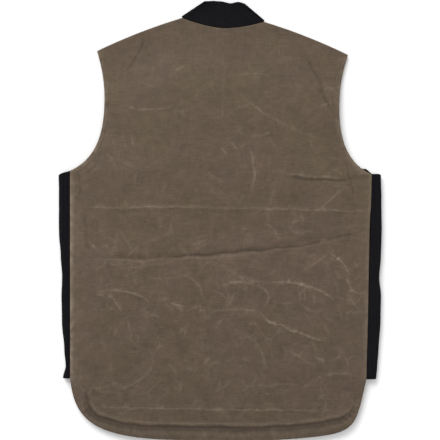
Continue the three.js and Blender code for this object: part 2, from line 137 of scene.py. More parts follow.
# Curves of the armhole and of the tail's corners, by side, in shares of their reach and depth
ARMHOLE_NARROW_AT = 0.42
ARMHOLE_HANDLES = ((0, 0.51), (0.27, 0.84))
TAIL_CORNERS = {
    -1: {"reach": 0.416, "handles": ((0.037, 0.79), (0.263, 0.993))},
    1: {"reach": 0.318, "handles": ((0.137, 0.914), (0.076, 0.904))},
}

# Up the back: share of the way, crown's share of its height, side edge's share of its height
BACK_RISE = (
    (0, 0.46, 0.78),
    (0.12, 0.66, 0.88),
    (0.4, 0.94, 1),
    (0.68, 1, 1),
    (0.86, 0.84, 0.95),
    (1, 0.44, 0.42),
)
# Down the side ribs: share of the way, shares of the reach that show on the left and the right
RIB_SHOW = (
    (0, 0.96, 0.77),
    (0.13, 0.94, 0.87),
    (0.28, 0.94, 0.96),
    (0.4, 0.8, 0.94),
    (0.5, 0.68, 0.86),
    (0.6, 0.73, 1.04),
    (0.72, 0.7, 1.05),
    (0.86, 0.5, 0.96),
    (0.94, 0.39, 0.89),
    (1, 0.62, 0.83),
)

DOME_POWER = 2.4
NECK_POWER = 1.6
TOP_FALL_FROM = 0.8
TAIL_BLEND = 0.28

# Shares of the way up a side edge, from the middle of the tail's corner to the shoulder tip
EDGE_HEIGHT = TAIL_DEPTH / 2 + RIB_LENGTH + ARMHOLE_DEPTH
RIB_END_UP = TAIL_DEPTH / 2 / EDGE_HEIGHT
PIT_UP = (TAIL_DEPTH / 2 + RIB_LENGTH) / EDGE_HEIGHT
NECK_LEFT_ACROSS = 0.5 - NECK_WIDTH / SHOULDER_WIDTH / 2

# Places on the back are shares of half the chest, to the right, and of the body's length, down
# from the neck points. A fold or a crease runs from its first place to its third, pulled aside by
# its second.

# Broad folds: height, half width, then the three places
FOLD_HEIGHT = 0.0012
FOLD_WIDTH = 0.010
FOLDS = (
    ("cross fold", -1, 0.6, -0.88, 0.566, 0, 0.577, 0.87, 0.507),
    ("chest crease", 0.35, 0.5, -0.88, 0.447, 0.06, 0.447, 1, 0.457),
    ("tail crease", 0.35, 0.5, -0.88, 0.923, 0, 0.923, 0.86, 0.925),
    ("pit pleat", -0.6, 0.6, 0.43, 0.371, 0.66, 0.381, 0.99, 0.381),
    ("left shoulder dent", -0.8, 1.2, -0.52, 0.05, -0.57, 0.098, -0.67, 0.133),
    ("right shoulder dent", -0.7, 1.1, 0.56, 0.074, 0.69, 0.157, 0.79, 0.245),
    ("left hip ridge", 0.5, 0.9, -0.75, 0.642, -0.47, 0.64, -0.25, 0.69),
    ("middle hip ridge", 0.45, 0.9, 0.01, 0.637, 0.28, 0.611, 0.33, 0.68),
    ("right hip ridge", 0.55, 0.9, 0.34, 0.623, 0.59, 0.628, 0.76, 0.663),
    ("low right ridge", 0.6, 1, 0.15, 0.687, 0.32, 0.704, 0.7, 0.766),
    ("right side peak", 0.6, 1, 0.55, 0.599, 0.74, 0.54, 0.87, 0.644),
    ("low left ridge", 0.45, 1, -0.47, 0.83, -0.57, 0.878, -0.85, 0.873),
    ("left side dent", -0.4, 0.9, -0.93, 0.383, -0.92, 0.478, -0.9, 0.537),
    ("right pit ridge", 0.5, 1, 0.83, 0.395, 0.73, 0.442, 0.61, 0.469),
)
# The folds that rows of the cloth's mesh run along, with how far above and below them it bends
ROW_FOLDS = {"cross fold": 0.2, "chest crease": 0.06}

# Light creases, where the wax cracked along a sharp fold: strength, then the three places
LIGHT_CREASES = (
    ("chest crease", 0.65, -0.878, 0.447, -0.467, 0.447, -0.036, 0.447),
    ("chest crease right", 0.55, -0.036, 0.447, 0.528, 0.452, 0.999, 0.459),
    ("below fold left", 0.5, -0.878, 0.559, -0.599, 0.578, -0.427, 0.573),
    ("below fold rising", 0.4, -0.732, 0.597, -0.533, 0.587, -0.301, 0.578),
    ("below fold middle", 0.35, -0.301, 0.568, 0.031, 0.566, 0.276, 0.554),
    ("tail crease", 0.7, -0.878, 0.920, 0.031, 0.927, 0.859, 0.930),
    ("hip arch", 0.95, -0.798, 0.647, -0.639, 0.635, -0.467, 0.668),
    ("hip drop", 0.7, -0.725, 0.654, -0.692, 0.673, -0.653, 0.697),
    ("hip wave", 0.45, -0.467, 0.668, -0.374, 0.666, -0.321, 0.661),
    ("hip knot a", 0.85, -0.321, 0.671, -0.281, 0.678, -0.228, 0.680),
    ("hip knot b", 0.6, -0.301, 0.675, -0.268, 0.687, -0.241, 0.694),
    ("waist hook", 0.6, -0.241, 0.604, -0.135, 0.618, -0.095, 0.668),
    ("waist tick", 0.35, -0.586, 0.597, -0.566, 0.616, -0.540, 0.633),
    ("low tick", 0.5, -0.467, 0.702, -0.427, 0.699, -0.394, 0.706),
    ("low slant", 0.3, -0.599, 0.704, -0.639, 0.721, -0.679, 0.732),
    ("middle arch", 0.9, 0.004, 0.633, 0.117, 0.618, 0.236, 0.630),
    ("middle turn", 0.75, 0.236, 0.630, 0.369, 0.644, 0.302, 0.683),
    ("right run", 0.6, 0.077, 0.606, 0.183, 0.621, 0.329, 0.625),
    ("right arch", 0.95, 0.329, 0.625, 0.561, 0.614, 0.760, 0.666),
    ("long run", 0.6, -0.056, 0.690, 0.163, 0.685, 0.263, 0.694),
    ("long drop", 1.0, 0.263, 0.694, 0.316, 0.721, 0.462, 0.735),
    ("long slope", 1.0, 0.408, 0.728, 0.561, 0.749, 0.714, 0.766),
    ("short bar", 0.6, 0.190, 0.725, 0.223, 0.728, 0.256, 0.725),
    ("peak rise", 0.5, 0.534, 0.599, 0.634, 0.578, 0.720, 0.554),
    ("peak fall", 1.0, 0.720, 0.554, 0.813, 0.571, 0.859, 0.609),
    ("side fork a", 0.8, 0.840, 0.609, 0.853, 0.659, 0.972, 0.647),
    ("side fork b", 0.5, 0.833, 0.621, 0.853, 0.668, 0.952, 0.699),
    ("bend mark", 0.6, 0.296, 0.483, 0.369, 0.499, 0.395, 0.526),
    ("bend line", 0.35, 0.302, 0.483, 0.329, 0.430, 0.389, 0.369),
    ("eye top", 0.5, 0.462, 0.497, 0.508, 0.468, 0.554, 0.480),
    ("eye low", 0.5, 0.455, 0.497, 0.508, 0.509, 0.574, 0.511),
    ("eye tick", 0.4, 0.528, 0.459, 0.548, 0.476, 0.541, 0.492),
    ("pit slope", 0.6, 0.601, 0.466, 0.727, 0.438, 0.833, 0.395),
    ("pit pleat light", 0.7, 0.382, 0.364, 0.561, 0.373, 0.840, 0.378),
    ("chest arc", 0.6, 0.190, 0.304, 0.256, 0.347, 0.210, 0.404),
    ("chest smile", 0.5, 0.123, 0.271, 0.263, 0.293, 0.369, 0.259),
    ("blade smile", 0.6, -0.619, 0.207, -0.467, 0.224, -0.294, 0.205),
    ("yoke bar", 0.4, 0.050, 0.136, 0.170, 0.124, 0.322, 0.133),
    ("yoke run", 0.5, 0.130, 0.178, 0.249, 0.226, 0.534, 0.266),
    ("yoke tick", 0.3, 0.037, 0.233, 0.097, 0.212, 0.196, 0.205),
    ("yoke far", 0.35, 0.408, 0.252, 0.528, 0.271, 0.700, 0.290),
    ("spine top", 0.22, 0.024, 0.028, 0.024, 0.150, 0.017, 0.262),
    ("spine tick", 0.5, -0.321, 0.476, -0.334, 0.495, -0.314, 0.516),
    ("spine line", 0.25, -0.069, 0.459, -0.042, 0.490, -0.056, 0.528),
    ("tail arch", 0.6, -0.447, 0.825, -0.520, 0.873, -0.719, 0.878),
    ("tail left", 0.5, -0.878, 0.868, -0.765, 0.885, -0.626, 0.892),
    ("tail middle", 0.35, -0.308, 0.809, -0.215, 0.825, -0.129, 0.837),
    ("tail hook", 0.4, -0.268, 0.832, -0.162, 0.825, -0.142, 0.849),
    ("low middle", 0.35, -0.202, 0.754, -0.142, 0.773, -0.082, 0.790),
    ("low curl", 0.55, 0.156, 0.751, 0.329, 0.778, 0.289, 0.837),
    ("tail knot a", 0.5, -0.029, 0.847, 0.024, 0.868, -0.042, 0.885),
    ("tail knot b", 0.5, 0.070, 0.856, 0.024, 0.882, -0.016, 0.868),
    ("tail bar a", 0.4, -0.301, 0.851, -0.308, 0.870, -0.294, 0.889),
    ("tail bar b", 0.4, -0.261, 0.851, -0.255, 0.873, -0.261, 0.897),
    ("tail run", 0.45, 0.090, 0.873, 0.276, 0.868, 0.534, 0.866),
    ("right low", 0.45, 0.442, 0.773, 0.515, 0.806, 0.634, 0.825),
    ("right wing", 0.5, 0.641, 0.856, 0.747, 0.830, 0.899, 0.847),
    ("right edge", 0.4, 0.773, 0.773, 0.833, 0.801, 0.853, 0.837),
    ("right curl", 0.4, 0.521, 0.661, 0.588, 0.711, 0.680, 0.690),
    ("right fan a", 0.4, 0.806, 0.476, 0.893, 0.445, 0.999, 0.461),
    ("right fan b", 0.4, 0.773, 0.492, 0.879, 0.495, 0.985, 0.488),
    ("right fan c", 0.35, 0.826, 0.509, 0.912, 0.521, 0.985, 0.526),
    ("hem pucker", 0.45, 0.641, 0.904, 0.714, 0.887, 0.694, 0.932),
    ("left tick", 0.3, -0.699, 0.454, -0.639, 0.476, -0.593, 0.478),
    ("mid tick", 0.3, 0.143, 0.661, 0.196, 0.666, 0.243, 0.675),
    ("low star a", 0.35, -0.454, 0.740, -0.401, 0.759, -0.341, 0.766),
    ("low star b", 0.35, -0.095, 0.675, -0.056, 0.692, -0.069, 0.711),
    ("low star c", 0.3, 0.037, 0.711, 0.103, 0.730, 0.117, 0.754),
    ("right mid a", 0.35, 0.568, 0.740, 0.647, 0.780, 0.667, 0.811),
    ("right mid b", 0.3, 0.408, 0.668, 0.462, 0.690, 0.475, 0.711),
    ("left low a", 0.3, -0.812, 0.671, -0.772, 0.690, -0.785, 0.711),
    ("left low b", 0.3, -0.798, 0.749, -0.759, 0.771, -0.779, 0.792),
)
# Dark folds, where the cloth is tucked under itself, each with a painted shadow along its groove
DARK_FOLDS = (
    ("cross left", 0.35, -0.878, 0.561, -0.599, 0.571, -0.301, 0.564),
    ("cross middle", 0.8, -0.367, 0.566, 0.031, 0.554, 0.276, 0.547),
    ("cross right", 1.0, 0.196, 0.549, 0.528, 0.542, 0.694, 0.526),
    ("cross end", 0.7, 0.694, 0.526, 0.793, 0.514, 0.886, 0.507),
    ("pit pleat dark", 0.9, 0.448, 0.376, 0.627, 0.380, 0.859, 0.385),
    ("shoulder left", 0.6, -0.500, 0.043, -0.540, 0.088, -0.633, 0.126),
    ("shoulder right a", 0.5, 0.568, 0.088, 0.660, 0.145, 0.747, 0.221),
    ("shoulder right b", 0.4, 0.647, 0.159, 0.714, 0.193, 0.767, 0.233),
    ("side left a", 0.6, -0.944, 0.364, -0.918, 0.388, -0.931, 0.421),
    ("side left b", 0.5, -0.898, 0.464, -0.891, 0.507, -0.865, 0.554),
    ("pit left", 0.6, -0.792, 0.314, -0.805, 0.350, -0.891, 0.366),
    ("pit right", 0.6, 0.820, 0.333, 0.873, 0.369, 0.873, 0.426),
    ("tail curl left", 0.7, -0.891, 0.873, -0.898, 0.916, -0.818, 0.944),
    ("blade smudge", 0.3, -0.533, 0.188, -0.467, 0.174, -0.394, 0.183),
)
# The seam that holds the turned-up hem, from the left side round to the right one
HEM_SEAM = (
    (-0.885, 0.868),
    (-0.885, 0.916),
    (-0.818, 0.944),
    (-0.699, 0.958),
    (-0.566, 0.967),
    (-0.400, 0.970),
    (0.011, 0.973),
    (0.395, 0.971),
    (0.594, 0.964),
    (0.740, 0.956),
    (0.833, 0.944),
    (0.893, 0.925),
    (0.919, 0.897),
)

# How wide a crease's ridge is, how far the wax around it is rubbed, and the widths of a dark fold's
# shadow and of its groove
CREASE_WIDTH = 0.0024
RUB_REACH = 0.0085
SHADOW_WIDTH = 0.0021
TUCK_WIDTH = 0.0026
# How far the creases wander from their curves, in broad and in fine waves, and how far around tucked
# folds, stitched lines and the hem's seam the cloth is shaped
WANDER = 0.0019
FINE_WANDER = 0.0009
TUCK_REACH = 0.02
SEAM_REACH = 0.03
HEM_REACH = 0.04
# How much darker the cloth is at the tail, as the material reads it
TAIL_SHADE = 0.26
# Small seeded creases: how many, their lengths, and the share of the upper half's that stay there
LOOSE_CREASES = 560
LOOSE_LENGTHS = (0.010, 0.045)
LOOSE_HIGH_SHARE = 0.4
LOOSE_SEED = 7

# The canvas mesh: the usual step, the steps of its rounded rim, and how much coarser its inside is
CANVAS_STEP = 0.00235
RIM_STEPS = (0, 0.0002, 0.0006, 0.0011, 0.0017, 0.0030)
RIM_RADIUS = 0.0016
INSIDE_STRIDE = 3
# The step of the rows beside a fold that crosses the back, and the length up the back that the usual
# step divides, as a share of EDGE_HEIGHT
FOLD_ROW_STEP = 0.0012
ROWS_STRETCH = 1.13

# The knit: the collar's step up its band, then the end at the right pit, with the share of the armhole
# where it starts, its size, how high it lies, and how much of it shows and is tucked in
KNIT_STEP = 0.0035
BINDING_FROM = 0.9
BINDING_LENGTH = 0.030
BINDING_WIDTH = 0.008
BINDING_WALL = 0.0018
BINDING_HEIGHT = 0.0062
BINDING_SHOWS = 0.0044
BINDING_TUCKED = 0.0045

# Topstitching: how far in from the canvas edges it runs, and how its lines are laid on the cloth
SIDE_STITCH_INSET = 0.0095
NECK_STITCH_INSET = 0.004
FRONT_HEM_INSET = 0.022
CLOSURE_STITCH_INSET = 0.007
STITCH_LINE_STEP = 0.0012
STITCH_RAY_START = 0.1

PIECE_BODY = "root"
SIDES = (("left", -1), ("right", 1))
NOISE_CELLS = 256


def mix(start, end, share):
    return start + (end - start) * share


def smooth(share):
    """An even ease from 0 to 1, and flat outside them"""
    share = np.clip(share, 0, 1)
    return share * share * (3 - 2 * share)


def bump(offset):
    """A bell curve, 1 at offset 0"""
    return np.exp(-offset * offset)


def read_table(rows, column, at):
    """A column of a table, eased between its rows"""
    rows = np.array(rows)
    places = rows[:, 0]
    index = np.searchsorted(places[1:-1], at)
    share = smooth((at - places[index]) / (places[index + 1] - places[index]))
    return mix(rows[index, column], rows[index + 1, column], share)


def bezier(points, share):
    """Places on the Bezier curve of the given points"""
    share = np.asarray(share, float)[..., None]
    points = [np.asarray(point, float) for point in points]
    while len(points) > 1:
        points = [mix(a, b, share) for a, b in zip(points, points[1:])]
    return points[0]


def smooth_path(points, steps):
    """A rounded line through the points, with some steps between each two"""
    points = np.array(points, float)
    padded = np.vstack([2 * points[0] - points[1], points, 2 * points[-1] - points[-2]])
    share = np.linspace(0, 1, steps, endpoint=False)[:, None]
    spans = []
    for before, start, end, after in zip(padded, padded[1:], padded[2:], padded[3:]):
        bend = (2 * before - 5 * start + 4 * end - after) * share**2
        turn = (3 * start - before - 3 * end + after) * share**3
        spans.append(start + ((end - before) * share + bend + turn) / 2)
    return np.vstack([*spans, points[-1:]])


def run_lengths(line):
    """How far along a line each of its points is"""
    return np.concatenate([[0], np.cumsum(np.linalg.norm(np.diff(line, axis=0), axis=1))])


def left_of(line):
    """The unit direction to the left of a line in plan, at each of its points"""
    along = np.gradient(line, axis=0)
    along /= np.linalg.norm(along, axis=1, keepdims=True)
    return np.stack([-along[:, 1], along[:, 0]], -1)


def even_line(line, step):
    """The line with its points an even step apart"""
    lengths = run_lengths(line)
    places = np.linspace(0, lengths[-1], max(2, round(lengths[-1] / step) + 1))
    return np.stack([np.interp(places, lengths, axis) for axis in line.T], -1)


def cloud(points, size, seed):
    """Smooth seeded noise from -1 to 1 over places in plan, with lumps of about that size"""
    lattice = np.random.default_rng(seed).uniform(-1, 1, (NOISE_CELLS, NOISE_CELLS))
    turned = points @ np.array([[0.8, 0.6], [-0.6, 0.8]])
    place = turned / size + NOISE_CELLS / 2
    cell = np.floor(place).astype(int)
    share = smooth(place - cell)
    low, high = cell % NOISE_CELLS, (cell + 1) % NOISE_CELLS
    bottom = mix(lattice[low[..., 0], low[..., 1]], lattice[high[..., 0], low[..., 1]], share[..., 0])
    top = mix(lattice[low[..., 0], high[..., 1]], lattice[high[..., 0], high[..., 1]], share[..., 0])
    return mix(bottom, top, share[..., 1])


# The outline of the body, with its origin between the neck points


def middle_at(y):
    return LEAN * (LEAN_FROM + np.clip(y / BODY_LENGTH, -1, 0))


def slip_at(y, side):
    return -side * SLIP * np.clip((BODY_LENGTH + y) / (BODY_LENGTH + PIT_Y), 0, 1) / 2


def outline_point(out, y, side):
    """A place that far out from the body's middle, on one side"""
    x = middle_at(y) + side * out
    return np.stack(np.broadcast_arrays(x, y + slip_at(y, side)), -1)


def tail_corner(share, side):
    """Half of the tail's curve, from the rib's lower end to the flat of the hem"""
    corner = TAIL_CORNERS[side]
    reach = corner["reach"] * HEM_WIDTH
    start = outline_point(HEM_WIDTH / 2, RIB_END_Y, side)
    drop = start[1] + BODY_LENGTH
    places = [(0, 0), *corner["handles"], (1, 1)]
    points = [start - np.array([side * inward * reach, down * drop]) for inward, down in places]
    return bezier(points, share)


def armhole(share, side):
    """The armhole's edge, from the shoulder tip to the pit"""
    share = np.asarray(share, float)
    narrow = ARMHOLE_WIDTH / 2
    upper = np.clip(share / ARMHOLE_NARROW_AT, 0, 1)
    upper_out = mix(narrow, SHOULDER_WIDTH / 2, (1 - upper) ** 2)
    upper_y = -SHOULDER_DROP - upper * ARMHOLE_NARROW_AT * ARMHOLE_DEPTH
    reach = CHEST_WIDTH / 2 - narrow
    start_y = -SHOULDER_DROP - ARMHOLE_NARROW_AT * ARMHOLE_DEPTH
    drop = start_y - PIT_Y
    places = [(0, 0), *ARMHOLE_HANDLES, (1, 1)]
    points = [(narrow + out * reach, start_y - down * drop) for out, down in places]
    lower = bezier(points, np.clip((share - ARMHOLE_NARROW_AT) / (1 - ARMHOLE_NARROW_AT), 0, 1))
    return np.where(
        (share <= ARMHOLE_NARROW_AT)[..., None],
        outline_point(upper_out, upper_y, side),
        outline_point(lower[..., 0], lower[..., 1], side),
    )


def side_seam(share, side):
    """The canvas edge beside the rib, from the pit to the rib's lower end"""
    return outline_point(mix(CHEST_WIDTH, HEM_WIDTH, share) / 2, mix(PIT_Y, RIB_END_Y, share), side)


def side_edge(up, side):
    """The whole side, from the middle of the tail's corner to the shoulder tip"""
    up = np.asarray(up, float)
    tail = tail_corner(0.5 - 0.5 * np.clip(up / RIB_END_UP, 0, 1), side)
    seam = side_seam(1 - np.clip((up - RIB_END_UP) / (PIT_UP - RIB_END_UP), 0, 1), side)
    arm = armhole(1 - np.clip((up - PIT_UP) / (1 - PIT_UP), 0, 1), side)
    upper = np.where((up <= PIT_UP)[..., None], seam, arm)
    return np.where((up <= RIB_END_UP)[..., None], tail, upper)


def hem_edge(across):
    """The hem between the middles of the tail's corners, from left to right"""
    across = np.asarray(across, float)
    left, left_flat = tail_corner(np.array([0.5, 1]), -1)
    right, right_flat = tail_corner(np.array([0.5, 1]), 1)
    left_share, right_share = (np.array([left_flat[0], right_flat[0]]) - left[0]) / (right[0] - left[0])
    low = tail_corner(mix(0.5, 1, np.clip(across / left_share, 0, 1)), -1)
    high = tail_corner(mix(1, 0.5, np.clip((across - right_share) / (1 - right_share), 0, 1)), 1)
    flat_share = np.clip((across - left_share) / (right_share - left_share), 0, 1)
    flat = mix(left_flat, right_flat, flat_share[..., None])
    upper = np.where((across > right_share)[..., None], high, flat)
    return np.where((across < left_share)[..., None], low, upper)


def neck_point(side):
    return outline_point(NECK_WIDTH / 2, 0, side)


def back_neckline(along):
    """The back neckline, from the left neck point at -1 to the right one at 1"""
    along = np.asarray(along, float)
    point = mix(neck_point(-1), neck_point(1), (along[..., None] + 1) / 2)
    point[..., 1] -= BACK_NECK_DROP * (1 - np.abs(along) ** NECK_POWER)
    return point


def towards_closure(along, side, start, low_y):
    """A quarter ellipse from a place beside the neck down to the closure"""
    angle = np.asarray(along, float) * math.pi / 2
    y = start[1] - (start[1] - low_y) * np.sin(angle)
    out = side * (start[0] - middle_at(start[1])) - CLOSURE_WIDTH / 2
    x = middle_at(y) + side * (CLOSURE_WIDTH / 2 + out * np.cos(angle))
    return np.stack([x, y], -1)


def shoulder(share, side):
    """A shoulder seam, from its tip to the neck point"""
    share = np.asarray(share, float)
    point = mix(armhole(0, side), neck_point(side), share[..., None])
    point[..., 1] += SHOULDER_BOW * 4 * share * (1 - share)
    return point


def top_edge(across):
    across = np.asarray(across, float)
    left = shoulder(np.clip(across / NECK_LEFT_ACROSS, 0, 1), -1)
    right = shoulder(np.clip((1 - across) / NECK_LEFT_ACROSS, 0, 1), 1)
    neck = back_neckline(np.clip((across - NECK_LEFT_ACROSS) / (0.5 - NECK_LEFT_ACROSS) - 1, -1, 1))
    return np.where(
        (across <= NECK_LEFT_ACROSS)[..., None],
        left,
        np.where((across >= 1 - NECK_LEFT_ACROSS)[..., None], right, neck),
    )


def patch(across, up, left, right, low, high):
    """Places in plan between four edges. Rows run straight across, and take the shape of the low
    and the high edge near them"""
    share = across[:, None]
    low_shape = low - mix(low[0], low[-1], share)
    high_shape = high - mix(high[0], high[-1], share)
    low_share = 1 - smooth(up / TAIL_BLEND)
    high_share = smooth((up - PIT_UP) / (1 - PIT_UP))
    plan = mix(left[:, None], right[:, None], share)
    return plan + low_shape * low_share[:, None, None] + high_shape * high_share[:, None, None]


def full_ends(across):
    """The stations, with both ends put at the edges, so that a patch finds its corners"""
    return np.concatenate([[0], across, [1]])


def straight_plan(across, up):
    """The back in plan, before its rows bend with the folds"""
    stations = full_ends(across)
    edges = side_edge(up, -1), side_edge(up, 1), hem_edge(stations), top_edge(stations)
    return patch(stations, up, *edges)[:, 1:-1]


def place(x, down):
    """A place on the back from its shares of half the chest and of the body's length"""
    return np.array([x * CHEST_WIDTH / 2, -down * BODY_LENGTH])


def curve_of(row):
    """The three places of a fold's or a crease's table row"""
    numbers = row[-6:]
    return [place(*numbers[index : index + 2]) for index in (0, 2, 4)]


def fold_up(curve):
    """Where, up the side edges, a fold that crosses the back begins"""
    return mix(PIT_UP, RIB_END_UP, (PIT_Y - curve[0][1]) / RIB_LENGTH)


def back_plan(across, up):
    plan = straight_plan(across, up)
    for row in FOLDS:
        if row[0] not in ROW_FOLDS:
            continue
        curve = curve_of(row)
        on_row = straight_plan(across, np.array([fold_up(curve)]))[0]
        share = np.clip((on_row[:, 0] - curve[0][0]) / (curve[2][0] - curve[0][0]), 0, 1)
        nearness = smooth(1 - np.abs(up - fold_up(curve)) / ROW_FOLDS[row[0]])
        plan[..., 1] += nearness[:, None] * (bezier(curve, share)[:, 1] - on_row[:, 1])
    return plan


# Meshes


def stations(length, step, through=()):
    """Shares of a length from 0 to 1, crowded at both ends for the rounded rim, that pass through
    the given ones"""
    rim = np.array(RIM_STEPS) / length
    stops = [rim[-1], *sorted(through), 1 - rim[-1]]
    runs = []
    for start, end in zip(stops, stops[1:]):
        count = max(1, round((end - start) * length / step))
        runs.append(np.linspace(start, end, count, endpoint=False))
    return np.concatenate([rim[:-1], *runs, 1 - rim[::-1]])


def half_wall(row_shares, column_shares, height, width, wall):
    """Half the cloth's thickness over a grid: full inside, and rounded off at its rim"""
    from_rows = np.minimum(row_shares, 1 - row_shares)[:, None] * height
    from_columns = np.minimum(column_shares, 1 - column_shares)[None, :] * width
    inside = np.clip(np.minimum(from_rows, from_columns) / RIM_RADIUS, 0, 1)
    return wall / 2 * np.sqrt(1 - (1 - inside) ** 2)


def shell(outer, inner, stride, flip=False):
    """Points and faces of closed cloth. Its layers share their rim, and the inner one is coarser"""
    rows, columns = outer.shape[:2]
    number = np.arange(rows * columns).reshape(rows, columns)
    quads = np.stack([number[:-1, :-1], number[:-1, 1:], number[1:, 1:], number[1:, :-1]], -1)
    faces = quads.reshape(-1, 4).tolist()
    kept_rows = sorted({*range(0, rows - 1, stride), rows - 1})
    kept_columns = sorted({*range(0, columns - 1, stride), columns - 1})
    inside = np.ix_(kept_rows[1:-1], kept_columns[1:-1])
    inner_points = inner[inside].reshape(-1, 3)
    inner_number = number.copy()
    inner_number[inside] = rows * columns + np.arange(len(inner_points)).reshape(number[inside].shape)
    for low, high in zip(kept_rows, kept_rows[1:]):
        for left, right in zip(kept_columns, kept_columns[1:]):
            step_left = 1 if left == 0 else high - low
            step_right = 1 if right == columns - 1 else high - low
            step_low = 1 if low == 0 else right - left
            step_high = 1 if high == rows - 1 else right - left
            ring = [(row, left) for row in range(low, high, step_left)]
            ring += [(high, column) for column in range(left, right, step_high)]
            ring += [(row, right) for row in range(high, low, -step_right)]
            ring += [(low, column) for column in range(right, left, -step_low)]
            faces.append([int(inner_number[place]) for place in ring])
    points = np.vstack([outer.reshape(-1, 3), inner_points])
    if flip:
        faces = [face[::-1] for face in faces]
    return points, faces


def surface_normals(grid, flip=False):
    """Unit normals of a grid of points: columns across rows"""
    along_rows = np.gradient(grid, axis=0)
    along_columns = np.gradient(grid, axis=1)
    normals = np.cross(along_columns, along_rows)
    normals /= np.linalg.norm(normals, axis=-1, keepdims=True)
    return -normals if flip else normals


def add_object(name, data):
    piece = bpy.data.objects.new(name, data)
    bpy.context.scene.collection.objects.link(piece)
    return piece


def new_piece(name, points, faces, material, values=None):
    """A mesh object with its material, and a number for each point under each given name"""
    mesh = bpy.data.meshes.new(name)
    mesh.from_pydata(np.asarray(points).tolist(), [], faces)
    mesh.shade_smooth()
    for attribute, numbers in (values or {}).items():
        layer = mesh.attributes.new(attribute, "FLOAT", "POINT")
        layer.data.foreach_set("value", np.asarray(numbers, np.float32))
    mesh.materials.append(material)
    return add_object(name, mesh)


def shift_to_frame():
    """From the outline's origin to the model's, found where the zip starts"""
    start_y = -BODY_LENGTH + 2 * FRONT_INSET
    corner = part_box("front_zip")[0]
    return np.array([corner.x - (middle_at(start_y) - TAPE_WIDTH / 2), corner.y - start_y, 0])


SHIFT = shift_to_frame()


# Relief of the canvas


def near_line(points, line):
    """For each point: its distance from a line, how far along that is, and on which side it lies"""
    distance = np.full(len(points), np.inf)
    along = np.zeros(len(points))
    side = np.zeros(len(points))
    lengths = run_lengths(line)
    for index, (start, end) in enumerate(zip(line, line[1:])):
        span = end - start
        share = np.clip((points - start) @ span / (span @ span), 0, 1)
        offset = points - start - share[:, None] * span
        away = np.linalg.norm(offset, axis=1)
        nearer = away < distance
        distance[nearer] = away[nearer]
        along[nearer] = mix(lengths[index], lengths[index + 1], share[nearer]) / lengths[-1]
        side[nearer] = np.sign(span[0] * offset[nearer, 1] - span[1] * offset[nearer, 0])
    return distance, along, side


def close_to(points, line, reach):
    """The numbers of the points that may lie within reach of a line"""
    inside = (points > line.min(0) - reach) & (points < line.max(0) + reach)
    return np.flatnonzero(inside.all(axis=1))


def faded(along, start, end):
    """Fades a line in from its start and out at its end. The numbers say how fast"""
    return smooth(start * along) * smooth(end * (1 - along))


class Relief:
    """What creases and seams do to the canvas: its height, its worn light lines, its rubbed wax with
    painted highlights, and its painted shadows
    """

    def __init__(self, points):
        warp = np.stack([cloud(points, 0.021, seed) for seed in (11, 12)], -1)
        fine_warp = np.stack([cloud(points, 0.007, seed) for seed in (13, 14)], -1)
        self.points = points + WANDER * warp + FINE_WANDER * fine_warp
        self.grain = 0.66 + 0.34 * cloud(points, 0.0052, 15)
        self.broad, self.fine = np.zeros((2, len(points)))
        self.wear, self.offset, self.rub, self.shade = np.zeros((4, len(points)))

    def fold(self, rise, width, curve):
        line = bezier(curve, np.linspace(0, 1, 15))
        near = close_to(self.points, line, 3 * width)
        distance, along, _ = near_line(self.points[near], line)
        fade = faded(along, 5, 12)
        self.broad[near] += rise * fade * bump(distance / width)

    def crease(self, strength, curve, height, width=CREASE_WIDTH):
        """A crease keeps its strength, and each point's offset from it, for a thin worn line"""
        line = bezier(curve, np.linspace(0, 1, 9))
        near = close_to(self.points, line, RUB_REACH)
        distance, along, side = near_line(self.points[near], line)
        fade = strength * np.sin(math.pi * np.clip(along, 0, 1)) ** 0.5
        offset = distance * side
        ridge = bump(offset / width) - 0.55 * bump((offset / width + 1.9) / 1.4)
        self.fine[near] += height * fade * ridge
        worn = fade * self.grain[near] * smooth(1 - distance / RUB_REACH)
        ahead = worn > self.wear[near]
        self.wear[near[ahead]] = worn[ahead]
        self.offset[near[ahead]] = offset[ahead]

    def tuck(self, strength, curve, depth):
        line = bezier(curve, np.linspace(0, 1, 13))
        near = close_to(self.points, line, TUCK_REACH)
        distance, along, side = near_line(self.points[near], line)
        fade = strength * faded(along, 9, 9)
        offset = distance * side / TUCK_WIDTH
        self.fine[near] -= depth * fade * (bump(offset) - 0.6 * bump((offset - 2.2) / 1.7))
        # Painted shadow along the tucked fold's groove
        self.shade[near] += fade * bump(distance / SHADOW_WIDTH)

    def seam(self, line, inset, groove, raised, shade):
        """A stitched line that far in from an edge, with the doubled cloth outside it raised and painted
        shade in its groove
        """
        near = close_to(self.points, line, SEAM_REACH)
        distance, along, _ = near_line(self.points[near], line)
        fade = faded(along, 30, 30)
        outside = 1 - smooth((distance - inset) / 0.002 + 0.5)
        valley = bump((distance - inset) / 0.0016)
        self.fine[near] += fade * (raised * outside - groove * valley)
        self.shade[near] += fade * shade * valley

    def values(self, count):
        """What the canvas material reads at each of a shell's points, the outer layer's first"""
        spare = np.zeros(count - len(self.points))
        named = {"wear": self.wear, "crease_offset": self.offset, "rub": self.rub, "shade": self.shade}
        return {name: np.concatenate([numbers, spare]) for name, numbers in named.items()}


def loose_creases():
    """Seeded small creases, most of them in the lower half"""
    chance = np.random.default_rng(LOOSE_SEED)
    creases = []
    for _ in range(LOOSE_CREASES):
        x = chance.uniform(-0.92, 0.92)
        down = chance.uniform(0.05, 0.95)
        if down < 0.5 and chance.uniform() > LOOSE_HIGH_SHARE:
            down += 0.45
        angle = chance.normal(0, 0.9) + (math.pi / 2 if chance.uniform() < 0.3 else 0)
        length = chance.uniform(*LOOSE_LENGTHS) * chance.uniform(0.6, 1)
        along = length / 2 * np.array([math.cos(angle), math.sin(angle)])
        aside = chance.uniform(-0.22, 0.22) * np.array([-along[1], along[0]])
        centre = place(x, down)
        strength = 0.07 + 0.45 * chance.uniform() ** 3
        creases.append((strength, [centre - along, centre + aside, centre + along]))
    return creases


